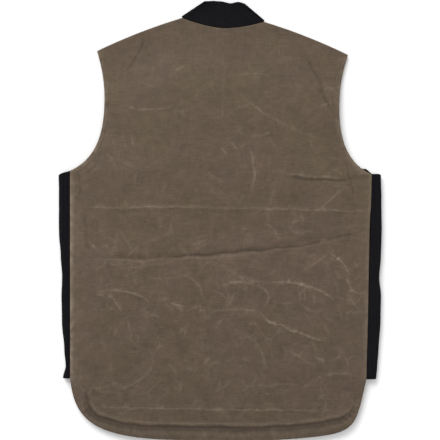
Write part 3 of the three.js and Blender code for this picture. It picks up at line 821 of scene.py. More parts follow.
def edge_line(side):
    """A side seam and its armhole, from the rib's lower end up to the shoulder tip"""
    return side_edge(np.linspace(RIB_END_UP, 1, 60), side)


def hem_seam_line():
    return smooth_path([place(*point) for point in HEM_SEAM], 8)


def neck_line():
    return back_neckline(np.linspace(-1, 1, 25))


def add_hem(relief):
    """The turned-up hem: cloth swells above its seam, dips into it, and puckers towards the ends"""
    line = hem_seam_line()
    near = close_to(relief.points, line, HEM_REACH)
    points = relief.points[near]
    distance, along, side = near_line(points, line)
    offset = distance * side * 1000
    fade = faded(along, 9, 9)
    corner = 1 - faded(along, 5.5, 5.5)
    swell = 1.05 * bump((offset - 6.8) / 3.6)
    dip = -0.95 * bump(offset / 3.2)
    band = 0.35 * bump((offset + 9) / 5)
    slant = along * run_lengths(line)[-1] + 0.0004 * offset
    wave = np.sin(slant / 0.0015 + 2.6 * cloud(points, 0.03, 21))
    patchy = 0.6 + 0.4 * cloud(points, 0.02, 22)
    pucker = wave * bump((offset + 4) / 7) * mix(0.2, 0.9, corner) * patchy
    relief.fine[near] += 0.001 * (fade * (swell + dip + band) + smooth(14 * along) * pucker)
    # Painted shade over the seam's groove and the dark line in it; the puckers get painted shade in their
    # troughs and painted light on their crests, and the band below the seam is darker
    tucked = smooth((6.5 - offset) / 3.5) * smooth((offset + 7.5) / 5)
    seam_shade = 0.72 * tucked + 0.3 * bump((offset - 1) / 1.8)
    relief.shade[near] += fade * (seam_shade - 0.55 * pucker + 0.16 * smooth(-offset))
    # Rubbed light lines along the swell and along the band, and a painted highlight on the puckers' crests
    ridge = bump((offset - 8.8) / 2) + 0.7 * bump((offset + 11) / 4)
    rubbed = 0.42 * fade * ridge * relief.grain[near] + 0.5 * np.clip(pucker, 0, 1)
    relief.rub[near] = np.maximum(relief.rub[near], rubbed)


def back_relief(points, settings):
    relief = Relief(points)
    strength = settings.crease_height
    for row in FOLDS:
        relief.fold(row[1] * FOLD_HEIGHT, row[2] * FOLD_WIDTH, curve_of(row))
    for row in LIGHT_CREASES:
        relief.crease(1.15 * row[1] ** 1.3, curve_of(row), strength)
    for row in DARK_FOLDS:
        relief.tuck(row[1], curve_of(row), 1.6 * strength)
    for loose_strength, curve in loose_creases():
        relief.crease(loose_strength, curve, strength, 0.8 * CREASE_WIDTH)
    add_hem(relief)
    for side in (-1, 1):
        relief.seam(edge_line(side), SIDE_STITCH_INSET, 0.0003, 0.0003, 0.28)
        # The side edges are lighter: rubbed wax and a painted highlight, stronger along the left edge,
        # which faces the light
        near = close_to(points, edge_line(side), 0.02)
        distance, _, _ = near_line(points[near], edge_line(side))
        below_pit = smooth((PIT_Y - points[near, 1]) / 0.04)
        edge_rub_and_highlight = mix(0.5, 1.3 if side < 0 else 0.6, below_pit) * np.exp(-distance / 0.006)
        patchy = np.clip(0.6 + 0.9 * cloud(points[near], 0.0065, 16), 0, 1.4)
        relief.rub[near] = np.maximum(relief.rub[near], edge_rub_and_highlight * mix(patchy, 0.85, 0.5 * below_pit))
    relief.seam(neck_line(), NECK_STITCH_INSET, 0.00025, 0.0002, 0.1)
    relief.shade += TAIL_SHADE * smooth((-points[:, 1] / BODY_LENGTH - 0.55) / 0.4)
    relief.broad += 0.0006 * cloud(points, 0.085, 31) + 0.0003 * cloud(points, 0.034, 32)
    relief.fine += 0.0001 * cloud(points, 0.013, 33)
    return relief


# The back


def edge_height(up):
    """How high the middle of the back's cloth lies at its side edges"""
    return np.maximum(REST_HEIGHT, SIDE_HEIGHT * read_table(BACK_RISE, 2, up))


def back_shape(across, up, plan, relief):
    """Heights of the middle of the cloth, with what folds add to both of its layers and what
    creases add to the outer one"""
    spread = np.abs(2 * across - 1)[None, :]
    edge = edge_height(up)[:, None]
    crown = CROWN_HEIGHT * read_table(BACK_RISE, 1, up)[:, None]
    dome = mix(crown, edge, spread**DOME_POWER)
    neck_share = smooth(spread / (NECK_WIDTH / SHOULDER_WIDTH))
    top_line = mix(NECK_HEIGHT, REST_HEIGHT, neck_share)
    near_top = smooth((up - TOP_FALL_FROM) / (1 - TOP_FALL_FROM))[:, None]
    broad = relief.broad.reshape(plan.shape[:2])
    middle = mix(dome + broad, top_line, near_top)
    fine = relief.fine.reshape(plan.shape[:2]) * mix(1, 0.5, near_top)
    return middle, fine


def make_back(settings, material):
    fold_rows = []
    for row in FOLDS:
        if row[0] in ROW_FOLDS:
            up_row = fold_up(curve_of(row))
            fold_rows += [up_row + step * FOLD_ROW_STEP / EDGE_HEIGHT for step in (-2, -1, 0, 1, 2)]
    across = stations(CHEST_WIDTH, CANVAS_STEP, (NECK_LEFT_ACROSS, 1 - NECK_LEFT_ACROSS))
    up = stations(EDGE_HEIGHT * ROWS_STRETCH, CANVAS_STEP, fold_rows)
    plan = back_plan(across, up)
    relief = back_relief(plan.reshape(-1, 2), settings)
    middle, fine = back_shape(across, up, plan, relief)
    half = half_wall(up, across, EDGE_HEIGHT, CHEST_WIDTH, CANVAS_WALL)
    settled = half / half.max()
    outer = np.dstack([plan, middle + half + fine * settled]) + SHIFT
    inner = np.dstack([plan, middle - half]) + SHIFT
    points, faces = shell(outer, inner, INSIDE_STRIDE)
    # Painted shade along the rounded rim
    relief.shade += 0.5 * (1 - settled.reshape(-1))
    return new_piece("back_canvas", points, faces, material, relief.values(len(points)))


# The fronts


def front_plan(across, up, side):
    """One front in plan: columns run from the closure out to the side, rows from the hem up"""
    shares = full_ends(across)
    closure_y = mix(-BODY_LENGTH + FRONT_INSET, -FRONT_NECK_DROP, up)
    closure = np.stack([middle_at(closure_y) + side * CLOSURE_WIDTH / 2, closure_y], -1)
    outer = side_edge(up, side)
    middle = 0.5 * (1 + side * shares)
    low = hem_edge(middle)
    low[:, 0] = mix(closure[0, 0], low[-1, 0], shares)
    neck_share = NECK_WIDTH / SHOULDER_WIDTH
    along = 1 - np.clip(shares / neck_share, 0, 1)
    neckline = towards_closure(along, side, neck_point(side), -FRONT_NECK_DROP)
    seam = shoulder(np.clip((1 - shares) / (1 - neck_share), 0, 1), side)
    high = np.where((shares <= neck_share)[:, None], neckline, seam)
    high[:, 1] -= FRONT_INSET * smooth((shares - neck_share) / 0.1)
    return patch(shares, up, closure, outer, low, high)[:, 1:-1]


def make_front(name, side, settings, material):
    width = CHEST_WIDTH / 2
    neck_share = NECK_WIDTH / SHOULDER_WIDTH
    across = stations(width, 2 * CANVAS_STEP, (neck_share,))
    up = stations(EDGE_HEIGHT, 2 * CANVAS_STEP)
    inset_across = across * (1 - FRONT_INSET / width)
    inset_up = FRONT_INSET / EDGE_HEIGHT + up * (1 - FRONT_INSET / EDGE_HEIGHT)
    plan = front_plan(inset_across, inset_up, side)
    points = plan.reshape(-1, 2)
    relief = Relief(points)
    for loose_strength, curve in loose_creases():
        relief.crease(loose_strength, curve, settings.crease_height)
    relief.seam(edge_line(side), SIDE_STITCH_INSET, -0.0002, 0, 0.16)
    relief.seam(tail_line(side), FRONT_HEM_INSET, -0.0005, 0, 0.5)
    relief.seam(closure_line(side), CLOSURE_STITCH_INSET, -0.0002, 0, 0.16)
    half = half_wall(up, across, EDGE_HEIGHT, width, CANVAS_WALL)
    lift = 0.0004 * (1 + cloud(points, 0.05, 41)) + np.clip(relief.fine, 0, 0.0006)
    lift = lift.reshape(half.shape) * half / half.max() * 0.8
    low = np.dstack([plan, CANVAS_WALL / 2 - half + lift]) + SHIFT
    high = np.dstack([plan, CANVAS_WALL / 2 + half]) + SHIFT
    points, faces = shell(low, high, 2, flip=side > 0)
    return new_piece(name, points, faces, material, relief.values(len(points)))


def tail_line(side):
    """The tail's edge on one side, from the closure round to the rib's lower end"""
    corner = tail_corner(np.linspace(1, 0, 24), side)
    middle = np.array([[middle_at(-BODY_LENGTH) + side * CLOSURE_WIDTH / 2, -BODY_LENGTH]])
    return np.vstack([middle, corner])


def closure_line(side):
    y = np.linspace(-BODY_LENGTH + FRONT_INSET, -FRONT_NECK_DROP, 12)
    return np.stack([middle_at(y) + side * CLOSURE_WIDTH / 2, y], -1)


# Rib knit


def knit_shell(name, middle, row_shares, column_shares, height, width, rib_place, flip, material):
    """Closed knit cloth about a middle surface. Each outer point knows its place across the ribs
    and along them, and how much of the ribs' relief it takes"""
    normals = surface_normals(middle, flip)
    half = half_wall(row_shares, column_shares, height, width, KNIT_WALL)[..., None]
    outer = middle + normals * half + SHIFT
    inner = middle - normals * half + SHIFT
    points, faces = shell(outer, inner, 2, flip)
    spare = np.zeros(len(points) - outer[..., 0].size)
    run = np.broadcast_to((row_shares * height)[:, None], half.shape[:2])
    values = {
        "rib_place": np.concatenate([rib_place.reshape(-1), spare]),
        "rib_run": np.concatenate([run.reshape(-1), spare]),
        "rib_relief": np.concatenate([(half / half.max()).reshape(-1), spare]),
    }
    return new_piece(name, points, faces, material, values)


def folded_section(share, inner_low, inner_high, reach, low_z, high_z):
    """Places out from the seam, and heights, along a band that is folded over"""
    radius = (high_z - low_z) / 2
    turn_at = reach - radius - KNIT_WALL / 2
    lower = turn_at - inner_low
    turn = math.pi * radius
    along = share * (lower + turn + turn_at - inner_high)
    angle = np.clip((along - lower) / turn, 0, 1) * math.pi - math.pi / 2
    out = np.where(along < lower, inner_low + along, turn_at - (along - lower - turn))
    out = np.where((along >= lower) & (along <= lower + turn), turn_at + radius * np.cos(angle), out)
    return out, low_z + radius * (1 + np.sin(angle))


def make_side_rib(name, side, settings, material):
    width = 2 * RIB_REACH + SIDE_HEIGHT
    share_up = stations(RIB_LENGTH, 0.0036)
    share_across = stations(width, settings.rib_pitch / 8)
    down = 1 - share_up
    edge = side_seam(down, side)
    reach = RIB_REACH * read_table(RIB_SHOW, 1 if side < 0 else 2, down)
    reach = reach * (1 + 0.012 * cloud(edge, 0.016, 51)) - 0.0001
    high_z = edge_height(mix(RIB_END_UP, PIT_UP, share_up))
    out, z = folded_section(
        share_across[None, :],
        SEAM_GAP - FRONT_INSET,
        SEAM_GAP,
        reach[:, None],
        KNIT_WALL / 2,
        high_z[:, None],
    )
    share_out = np.clip(out / reach[:, None], 0, 1)
    slant = mix(*RIB_TOP_DROP[side], share_out)
    drop = share_up[:, None] * (slant + RIB_TOP_ROUNDING * share_out**8)
    middle = np.stack([edge[:, :1] + side * out, edge[:, 1:] - drop, z], -1)
    rib_place = np.broadcast_to(share_across * width, z.shape)
    size = RIB_LENGTH, width
    return knit_shell(name, middle, share_up, share_across, *size, rib_place, side > 0, material)


def make_pit_binding(material):
    """The end of the right side's knit that shows past the canvas at the pit"""
    share = stations(BINDING_LENGTH, 0.0015)
    cross = stations(BINDING_WIDTH, 0.0012)
    edge = armhole(mix(BINDING_FROM, 1, share), 1)
    shows = BINDING_SHOWS * smooth(2 * share) * (1 - 0.6 * smooth((share - 0.4) / 0.6))
    out = mix(-BINDING_TUCKED, shows, cross[:, None])
    plan = edge[None] + left_of(edge)[None] * out[..., None]
    middle = np.dstack([plan, np.full(plan.shape[:2], BINDING_HEIGHT)])
    half = half_wall(cross, share, BINDING_WIDTH, BINDING_LENGTH, BINDING_WALL)[..., None]
    up = np.array([0, 0, 1])
    points, faces = shell(middle + up * half + SHIFT, middle - up * half + SHIFT, 2)
    values = {"rib_place": points[:, 0], "rib_run": points[:, 1], "rib_relief": np.zeros(len(points))}
    return new_piece("pit_binding", points, faces, material, values)


def with_height(plan, z):
    return np.concatenate([plan, np.broadcast_to(z, plan.shape[:-1])[..., None]], -1)


def collar_corner(side):
    """Where the collar's free edge folds over"""
    neck = neck_point(side)
    further_out, further_up = COLLAR_CORNER_SHIFT[side]
    out = COLLAR_TOP_WIDTH / 2 + further_out
    return np.array([middle_at(0) + side * out, neck[1] + COLLAR_STAND + further_up])


def collar_front(along, side):
    """The collar's base on the front, inside the neckline, and its free edge there"""
    inside = neck_point(side) + SEAM_GAP * np.array([-side, 1])
    base = towards_closure(along, side, inside, SEAM_GAP - FRONT_NECK_DROP)
    top = towards_closure(along, side, collar_corner(side), COLLAR_HEIGHT - FRONT_NECK_DROP)
    return with_height(base, KNIT_WALL / 2), with_height(top, KNIT_WALL / 2)


def collar_back(along):
    """The collar across the back of the neck, from the left fold at -1 to the right one at 1"""
    base = back_neckline(along)
    base[:, 0] -= SEAM_GAP * along
    base[:, 1] += SEAM_GAP
    spread = np.abs(along)
    base_z = mix(NECK_HEIGHT, REST_HEIGHT, smooth(spread))
    top = mix(collar_corner(-1), collar_corner(1), (along[:, None] + 1) / 2)
    top[:, 1] += read_table(COLLAR_TOP_RISE, 1, along)
    return with_height(base, base_z), with_height(top, COLLAR_TOP_HEIGHT)


def collar_fold(angle, side):
    """The half turn from the front's layer up to the back's, on one side"""
    low = [edge[0] for edge in collar_front(np.array([0.0]), side)]
    high = [edge[0] for edge in collar_back(np.array([float(side)]))]
    direction = (low[1] - low[0]) / np.linalg.norm(low[1] - low[0])
    outward = np.array([side * direction[1], -side * direction[0], 0])
    turned = []
    for start, end in zip(low, high):
        radius = (end[2] - start[2]) / 2
        rise = np.stack([0 * angle, 0 * angle, radius * (1 + np.sin(angle))], -1)
        turned.append(start + outward * radius * np.cos(angle)[:, None] + rise)
    turned[1][:, 1] -= COLLAR_FOLD_SAG * np.cos(angle)
    return turned


def make_collar(settings, material):
    angle = np.linspace(-math.pi / 2, math.pi / 2, 14)[1:-1]
    along = np.linspace(0, 1, 40)
    runs = [
        collar_front(along[::-1], -1),
        collar_fold(angle, -1),
        collar_back(np.linspace(-1, 1, 60)),
        [edge[::-1] for edge in collar_fold(angle, 1)],
        collar_front(along, 1),
    ]
    base, top = (np.vstack([run[index] for run in runs]) for index in (0, 1))
    lengths = run_lengths((base + top) / 2)
    perimeter = lengths[-1]
    share_round = stations(perimeter, settings.rib_pitch / 6)
    places = share_round * perimeter
    base, top = (
        np.stack([np.interp(places, lengths, axis) for axis in edge.T], -1) for edge in (base, top)
    )
    share_up = stations(COLLAR_HEIGHT, KNIT_STEP)
    middle = mix(base[None], top[None], share_up[:, None, None])
    rib_place = np.broadcast_to(places, middle.shape[:2])
    size = COLLAR_HEIGHT, perimeter
    return knit_shell("collar_knit", middle, share_up, share_round, *size, rib_place, False, material)


# Geometry Nodes: ribs, stitches and teeth


def join(tree, socket, value):
    """Links a node's output to a socket, or sets the socket to a value"""
    if isinstance(value, bpy.types.NodeSocket):
        tree.links.new(value, socket)
    else:
        socket.default_value = value


def add_node(tree, kind, inputs=None, **settings):
    node = tree.nodes.new(kind)
    for name, value in settings.items():
        setattr(node, name, value)
    for name, value in (inputs or {}).items():
        join(tree, node.inputs[name], value)
    return node


def calculate(tree, operation, *values):
    """The result of one Math node"""
    node = add_node(tree, "ShaderNodeMath", operation=operation)
    for index, value in enumerate(values):
        join(tree, node.inputs[index], value)
    return node.outputs[0]


def new_tree(name, inputs):
    """A Geometry Nodes tree with a geometry in and out, and the named inputs"""
    tree = bpy.data.node_groups.new(name, "GeometryNodeTree")
    tree.interface.new_socket("Geometry", in_out="INPUT", socket_type="NodeSocketGeometry")
    tree.interface.new_socket("Geometry", in_out="OUTPUT", socket_type="NodeSocketGeometry")
    for label, kind in inputs.items():
        tree.interface.new_socket(label, in_out="INPUT", socket_type=kind)
    return tree, tree.nodes.new("NodeGroupInput"), tree.nodes.new("NodeGroupOutput")


def finish_tree(tree, group_input, group_output, geometry):
    """Ends a tree: real geometry, with its material"""
    real = add_node(tree, "GeometryNodeRealizeInstances", {"Geometry": geometry})
    painted = add_node(
        tree,
        "GeometryNodeSetMaterial",
        {"Geometry": real.outputs[0], "Material": group_input.outputs["Material"]},
    )
    tree.links.new(painted.outputs[0], group_output.inputs["Geometry"])
    return tree


def named_value(tree, name):
    node = add_node(tree, "GeometryNodeInputNamedAttribute", {"Name": name}, data_type="FLOAT")
    return node.outputs["Attribute"]


def rib_tree():
    """Presses the grooves of a rib knit into a surface, from each point's place across the ribs"""
    inputs = {"Pitch": "NodeSocketFloat", "Depth": "NodeSocketFloat", "Material": "NodeSocketMaterial"}
    tree, group_input, group_output = new_tree("Knit Ribs", inputs)
    turns = calculate(tree, "DIVIDE", named_value(tree, "rib_place"), group_input.outputs["Pitch"])
    wave = calculate(tree, "COSINE", calculate(tree, "MULTIPLY", turns, 2 * math.pi))
    groove = calculate(tree, "MULTIPLY", calculate(tree, "SUBTRACT", wave, 1), 0.5)
    depth = calculate(tree, "MULTIPLY", groove, group_input.outputs["Depth"])
    amount = calculate(tree, "MULTIPLY", depth, named_value(tree, "rib_relief"))
    normal = tree.nodes.new("GeometryNodeInputNormal")
    offset = add_node(tree, "ShaderNodeVectorMath", {0: normal.outputs[0]}, operation="SCALE")
    join(tree, offset.inputs["Scale"], amount)
    moved = add_node(
        tree,
        "GeometryNodeSetPosition",
        {"Geometry": group_input.outputs["Geometry"], "Offset": offset.outputs[0]},
    )
    return finish_tree(tree, group_input, group_output, moved.outputs[0])


def row_tree(name, shape):
    """Sets one small solid after another along each line. Its long side follows the line"""
    inputs = {
        "Spacing": "NodeSocketFloat",
        "Size": "NodeSocketVector",
        "Material": "NodeSocketMaterial",
    }
    tree, group_input, group_output = new_tree(name, inputs)
    points = add_node(
        tree,
        "GeometryNodeCurveToPoints",
        {"Curve": group_input.outputs["Geometry"], "Length": group_input.outputs["Spacing"]},
        mode="LENGTH",
    )
    if shape == "stitch":
        solid = add_node(tree, "GeometryNodeMeshUVSphere", {"Segments": 8, "Rings": 6, "Radius": 0.5})
    else:
        solid = add_node(tree, "GeometryNodeMeshCube", {"Size": (1, 1, 1)})
    copies = add_node(
        tree,
        "GeometryNodeInstanceOnPoints",
        {
            "Points": points.outputs["Points"],
            "Instance": solid.outputs["Mesh"],
            "Rotation": points.outputs["Rotation"],
            "Scale": group_input.outputs["Size"],
        },
    )
    return finish_tree(tree, group_input, group_output, copies.outputs[0])


def run_tree(piece, tree, inputs):
    """Turns a piece into the plain mesh that a Geometry Nodes tree makes of it"""
    modifier = piece.modifiers.new(tree.name, "NODES")
    modifier.node_group = tree
    for item in tree.interface.items_tree:
        if item.in_out == "INPUT" and item.name in inputs:
            modifier[item.identifier] = inputs[item.name]
    piece.update_tag()
    graph = bpy.context.evaluated_depsgraph_get()
    made = bpy.data.meshes.new_from_object(piece.evaluated_get(graph), depsgraph=graph)
    name = piece.name
    bpy.data.objects.remove(piece)
    made.name = name
    return add_object(name, made)


def new_lines(name, lines):
    """A curve object of straight-jointed lines"""
    data = bpy.data.curves.new(name, "CURVE")
    data.dimensions = "3D"
    data.twist_mode = "Z_UP"
    for line in lines:
        spline = data.splines.new("POLY")
        spline.points.add(len(line) - 1)
        spline.points.foreach_set("co", np.column_stack([line, np.ones(len(line))]).reshape(-1))
    return add_object(name, data)


def inset_line(line, inset, inward):
    """A line moved sideways by the inset. Inward is 1 to its left and -1 to its right"""
    return line + inward * inset * left_of(line)


def laid_on(piece, line, from_below=False):
    """A line in plan, laid on a piece's outer side"""
    laid = []
    side = -1 if from_below else 1
    for x, y in even_line(line, STITCH_LINE_STEP) + SHIFT[:2]:
        start = Vector((x, y, side * STITCH_RAY_START))
        hit, spot, _, _ = piece.ray_cast(start, Vector((0, 0, -side)))
        if hit:
            laid.append(spot)
    return np.array(laid)


def make_stitches(name, lines, settings, material):
    size = (settings.thread_width, settings.thread_width, settings.stitch_length)
    inputs = {"Spacing": settings.stitch_spacing, "Size": size, "Material": material}
    return run_tree(new_lines(name, lines), row_tree("Stitch Row", "stitch"), inputs)


# Materials


def from_screen(*channels):
    """A colour on the screen, from 0 to 255, as the light that a material gives back"""
    shares = [channel / 255 for channel in channels]
    return tuple(share / 12.92 if share < 0.0404 else ((share + 0.055) / 1.055) ** 2.4 for share in shares)


# A stitch of the knit: its height, and how steeply its halves slant. Then the twill of the zip's tape
LOOP_HEIGHT = 0.0021
LOOP_SLANT = 0.0016
TWILL_PITCH = 0.0012


def new_material(name):
    """A material with its node tree, its shader, and places on the object for its patterns"""
    material = bpy.data.materials.new(name)
    material.use_nodes = True
    tree = material.node_tree
    tree.nodes.clear()
    shader = tree.nodes.new("ShaderNodeBsdfPrincipled")
    output = tree.nodes.new("ShaderNodeOutputMaterial")
    tree.links.new(shader.outputs[0], output.inputs[0])
    return material, tree, shader, add_node(tree, "ShaderNodeTexCoord").outputs["Object"]


def noise(tree, vector, scale, detail=2, roughness=0.5):
    inputs = {"Vector": vector, "Scale": scale, "Detail": detail, "Roughness": roughness}
    return add_node(tree, "ShaderNodeTexNoise", inputs).outputs["Fac"]


def stretched(tree, vector, scale):
    return add_node(tree, "ShaderNodeMapping", {"Vector": vector, "Scale": scale}).outputs[0]


def ease(tree, value, low, high, to_low=0, to_high=1):
    inputs = {"Value": value, "From Min": low, "From Max": high, "To Min": to_low, "To Max": to_high}
    return add_node(tree, "ShaderNodeMapRange", inputs, interpolation_type="SMOOTHSTEP").outputs[0]


def blend(tree, factor, first, second, mode="MIX"):
    node = add_node(tree, "ShaderNodeMix", data_type="RGBA", blend_type=mode)
    join(tree, node.inputs[0], factor)
    join(tree, node.inputs[6], first)
    join(tree, node.inputs[7], second)
    return node.outputs[2]


def grey(tree, value):
    """A value as a colour"""
    return add_node(tree, "ShaderNodeCombineColor", {0: value, 1: value, 2: value}).outputs[0]


def point_value(tree, name):
    return add_node(tree, "ShaderNodeAttribute", attribute_name=name).outputs["Fac"]


def centred(tree, value):
    return calculate(tree, "SUBTRACT", value, 0.5)


def weighted_sum(tree, total, terms):
    """The total, with each term's value times its amount added"""
    for value, amount in terms:
        total = calculate(tree, "ADD", calculate(tree, "MULTIPLY", value, amount), total)
    return total


def finish_shader(tree, shader, inputs, height=None, depth=0):
    """Sets the shader's inputs by name, and its bump from a height"""
    for name, value in inputs.items():
        join(tree, shader.inputs[name], value)
    if height is not None:
        bumped = add_node(tree, "ShaderNodeBump", {"Height": height, "Distance": depth, "Strength": 1})
        tree.links.new(bumped.outputs[0], shader.inputs["Normal"])


def canvas_material(settings):
    material, tree, shader, spot = new_material("creased_canvas")
    parts = add_node(tree, "ShaderNodeSeparateXYZ", {0: spot})
    worn = (*settings.worn_and_highlight_colour, 1)
    lower = ease(tree, parts.outputs[1], -0.12, 0.06, 1, 0.45)
    tint = ease(tree, noise(tree, spot, 9, 3, 0.6), 0.36, 0.64, 0, 0.5)
    tint = weighted_sum(tree, tint, [(lower, 0.5)])
    colour = blend(tree, tint, (*settings.olive_colour, 1), (*settings.reddish_colour, 1))

    # Cloudy wax, and the streaks of the yarns both ways
    cloudy = noise(tree, spot, 34, 5, 0.62)
    blotchy = noise(tree, stretched(tree, spot, (80, 110, 80)), 1, 4, 0.65)
    along = noise(tree, stretched(tree, spot, (55, 420, 55)), 1, 3, 0.6)
    across = noise(tree, stretched(tree, spot, (420, 55, 55)), 1, 3, 0.6)
    speck = noise(tree, spot, 620, 2, 0.5)
    tones = ((cloudy, 0.62), (blotchy, 0.5), (along, 0.44), (across, 0.36), (speck, 0.10))
    tone = weighted_sum(tree, 1, [(centred(tree, value), amount) for value, amount in tones])

    # A net of hairline cracks in the wax, broken up so that only parts of it show
    bent = add_node(tree, "ShaderNodeTexNoise", {"Vector": spot, "Scale": 16, "Detail": 2})
    moved = add_node(tree, "ShaderNodeVectorMath", {0: bent.outputs["Color"]}, operation="SCALE")
    moved.inputs["Scale"].default_value = 0.05
    shifted = add_node(tree, "ShaderNodeVectorMath", {0: spot, 1: moved.outputs[0]}, operation="ADD")
    cracks = 0.0
    for scale, width, shown_at, offset in ((22, 0.05, 0.52, 0), (47, 0.06, 0.58, 3.7)):
        vector = stretched(tree, shifted.outputs[0], (1, 1, 0.2))
        cells = add_node(
            tree,
            "ShaderNodeTexVoronoi",
            {"Vector": vector, "Scale": scale},
            feature="DISTANCE_TO_EDGE",
        )
        line = ease(tree, cells.outputs[0], 0, width, 1, 0)
        place_of = add_node(tree, "ShaderNodeMapping", {"Vector": spot, "Location": (offset, 0, 0)})
        shown = ease(tree, noise(tree, place_of.outputs[0], 26, 3, 0.6), shown_at, shown_at + 0.1)
        cracks = calculate(tree, "ADD", calculate(tree, "MULTIPLY", line, shown), cracks)

    # Each crease is a thin worn line with rubbed wax around it
    wear = point_value(tree, "wear")
    offset = calculate(tree, "ABSOLUTE", point_value(tree, "crease_offset"))
    ragged = ease(tree, noise(tree, spot, 230, 3, 0.6), 0.3, 0.7, 0.0016, 0.0048)
    line = ease(tree, calculate(tree, "DIVIDE", offset, ragged), 0, 1, 1, 0)
    smudged = ease(tree, noise(tree, spot, 75, 4, 0.65), 0.42, 0.68, 0, 0.75)
    around = weighted_sum(tree, smudged, [(line, 0.72)])
    crease = calculate(tree, "MULTIPLY", wear, around)
    cracks = calculate(tree, "MULTIPLY", cracks, lower)
    # Lighter along worn creases and rubbed wax, and under painted highlights on the side edges and the
    # hem's puckers
    light = calculate(tree, "ADD", crease, point_value(tree, "rub"))
    light = weighted_sum(tree, light, [(cracks, 0.2)])
    light = calculate(tree, "MINIMUM", calculate(tree, "MULTIPLY", light, settings.wear_and_highlight_strength), 1)
    colour = blend(tree, 1, colour, grey(tree, tone), "MULTIPLY")
    colour = blend(tree, light, colour, worn)
    # Painted shade and shadow: tucked folds, stitched grooves, the hem's seam and the rounded rim, and
    # darker towards the tail
    dark = calculate(tree, "MINIMUM", point_value(tree, "shade"), 1)
    shadow = calculate(tree, "SUBTRACT", 1, calculate(tree, "MULTIPLY", dark, settings.shade_strength))
    colour = blend(tree, 1, colour, grey(tree, shadow), "MULTIPLY")
    roughness = weighted_sum(tree, ease(tree, cloudy, 0.3, 0.7, 0.52, 0.68), [(light, 0.12)])

    # Plain weave, each yarn over one and under one, with slubs, cracks and the wax's own unevenness
    turn = math.pi / settings.yarn_pitch
    over, under = (
        calculate(tree, "SINE", calculate(tree, "MULTIPLY", parts.outputs[axis], turn)) for axis in (0, 1)
    )
    raised = (
        (calculate(tree, "MULTIPLY", over, under), 0.22),
        (along, 0.5),
        (across, 0.5),
        (speck, 0.35),
        (cloudy, 2.4),
        (blotchy, 1.6),
        (cracks, 0.35),
        (crease, 1.5),
    )
    inputs = {"Base Color": colour, "Roughness": roughness, "Specular IOR Level": 0.18}
    finish_shader(tree, shader, inputs, weighted_sum(tree, 0, raised), 0.0003)
    return material


def knit_material(settings):
    material, tree, shader, spot = new_material("ribbed_yarn")
    across = calculate(tree, "DIVIDE", point_value(tree, "rib_place"), settings.rib_pitch)

    # Each wale is a chain of slanted loops: a saw across the rib tilts the rows of stitches
    half_wale = calculate(tree, "PINGPONG", calculate(tree, "MULTIPLY", across, 2), 0.5)
    place_on = weighted_sum(tree, point_value(tree, "rib_run"), [(half_wale, LOOP_SLANT)])
    loops = calculate(tree, "SINE", calculate(tree, "MULTIPLY", place_on, 2 * math.pi / LOOP_HEIGHT))
    rib = calculate(tree, "COSINE", calculate(tree, "MULTIPLY", across, 2 * math.pi))
    fuzz = noise(tree, spot, 900, 3, 0.7)
    soft = noise(tree, spot, 30, 3, 0.5)
    # The ribs and loops paint shade: darker between the ribs and across each loop, with random tone from
    # the fuzz
    tones = [(rib, 0.32), (loops, 0.12), (centred(tree, fuzz), 0.5), (centred(tree, soft), 0.4)]
    raised = ease(tree, weighted_sum(tree, 0.5, tones), 0, 1)
    colour = blend(tree, raised, (*settings.groove_shade_colour, 1), (*settings.yarn_colour, 1))
    roughness = ease(tree, fuzz, 0.3, 0.7, 0.86, 0.98)
    inputs = {"Base Color": colour, "Roughness": roughness, "Specular IOR Level": 0.06}
    finish_shader(tree, shader, inputs, weighted_sum(tree, fuzz, [(loops, 0.5)]), 0.00025)
    return material


def thread_material(settings):
    material, tree, shader, spot = new_material("topstitch_thread")
    twist = noise(tree, stretched(tree, spot, (1500, 1500, 1500)), 1, 1)
    # Painted light and shade along the twist: a lit and a shaded tone of the thread
    colour = blend(tree, twist, (*settings.thread_shaded_colour, 1), (*settings.thread_lit_colour, 1))
    finish_shader(tree, shader, {"Base Color": colour, "Roughness": 0.6}, twist, 0.0001)
    return material


def tape_material(settings):
    material, tree, shader, spot = new_material("zip_tape")
    parts = add_node(tree, "ShaderNodeSeparateXYZ", {0: spot})
    slant = calculate(tree, "ADD", parts.outputs[0], calculate(tree, "ABSOLUTE", parts.outputs[1]))
    twill = calculate(tree, "SINE", calculate(tree, "MULTIPLY", slant, 2 * math.pi / TWILL_PITCH))
    level = weighted_sum(tree, noise(tree, spot, 400, 2), [(twill, 0.3)])
    colours = (*settings.tape_dark, 1), (*settings.tape_colour, 1)
    colour = blend(tree, ease(tree, level, 0.2, 0.8), *colours)
    finish_shader(tree, shader, {"Base Color": colour, "Roughness": 0.85}, level, 0.0002)
    return material


def teeth_material(settings):
    material, tree, shader, spot = new_material("zip_teeth")
    stain = noise(tree, spot, 260, 4, 0.6)
    colour = blend(tree, stain, (*settings.teeth_dark, 1), (*settings.teeth_colour, 1))
    roughness = ease(tree, stain, 0.3, 0.7, 0.38, 0.6)
    inputs = {"Base Color": colour, "Roughness": roughness, "Metallic": 0.8}
    finish_shader(tree, shader, inputs, stain, 0.0001)
    return material


def floor_material(settings):
    material, tree, shader, spot = new_material("studio_floor")
    tone = ease(tree, noise(tree, spot, 3, 2), 0, 1, 0.995, 1)
    colour = blend(tree, 1, (*settings.floor_colour, 1), grey(tree, tone), "MULTIPLY")
    finish_shader(tree, shader, {"Base Color": colour, "Roughness": 0.95, "Specular IOR Level": 0.05})
    return material


def material_for(name, make, settings):
    """The material of that name, made the first time that it is asked for"""
    return bpy.data.materials.get(name) or make(settings)


# Settings that a user would change


def colour_property(label, description, colour):
    return bpy.props.FloatVectorProperty(
        name=label, description=description, subtype="COLOR", size=3, min=0, max=1, default=colour
    )


def length_property(label, description, length):
    return bpy.props.FloatProperty(
        name=label, description=description, default=length, min=0, unit="LENGTH", precision=5
    )


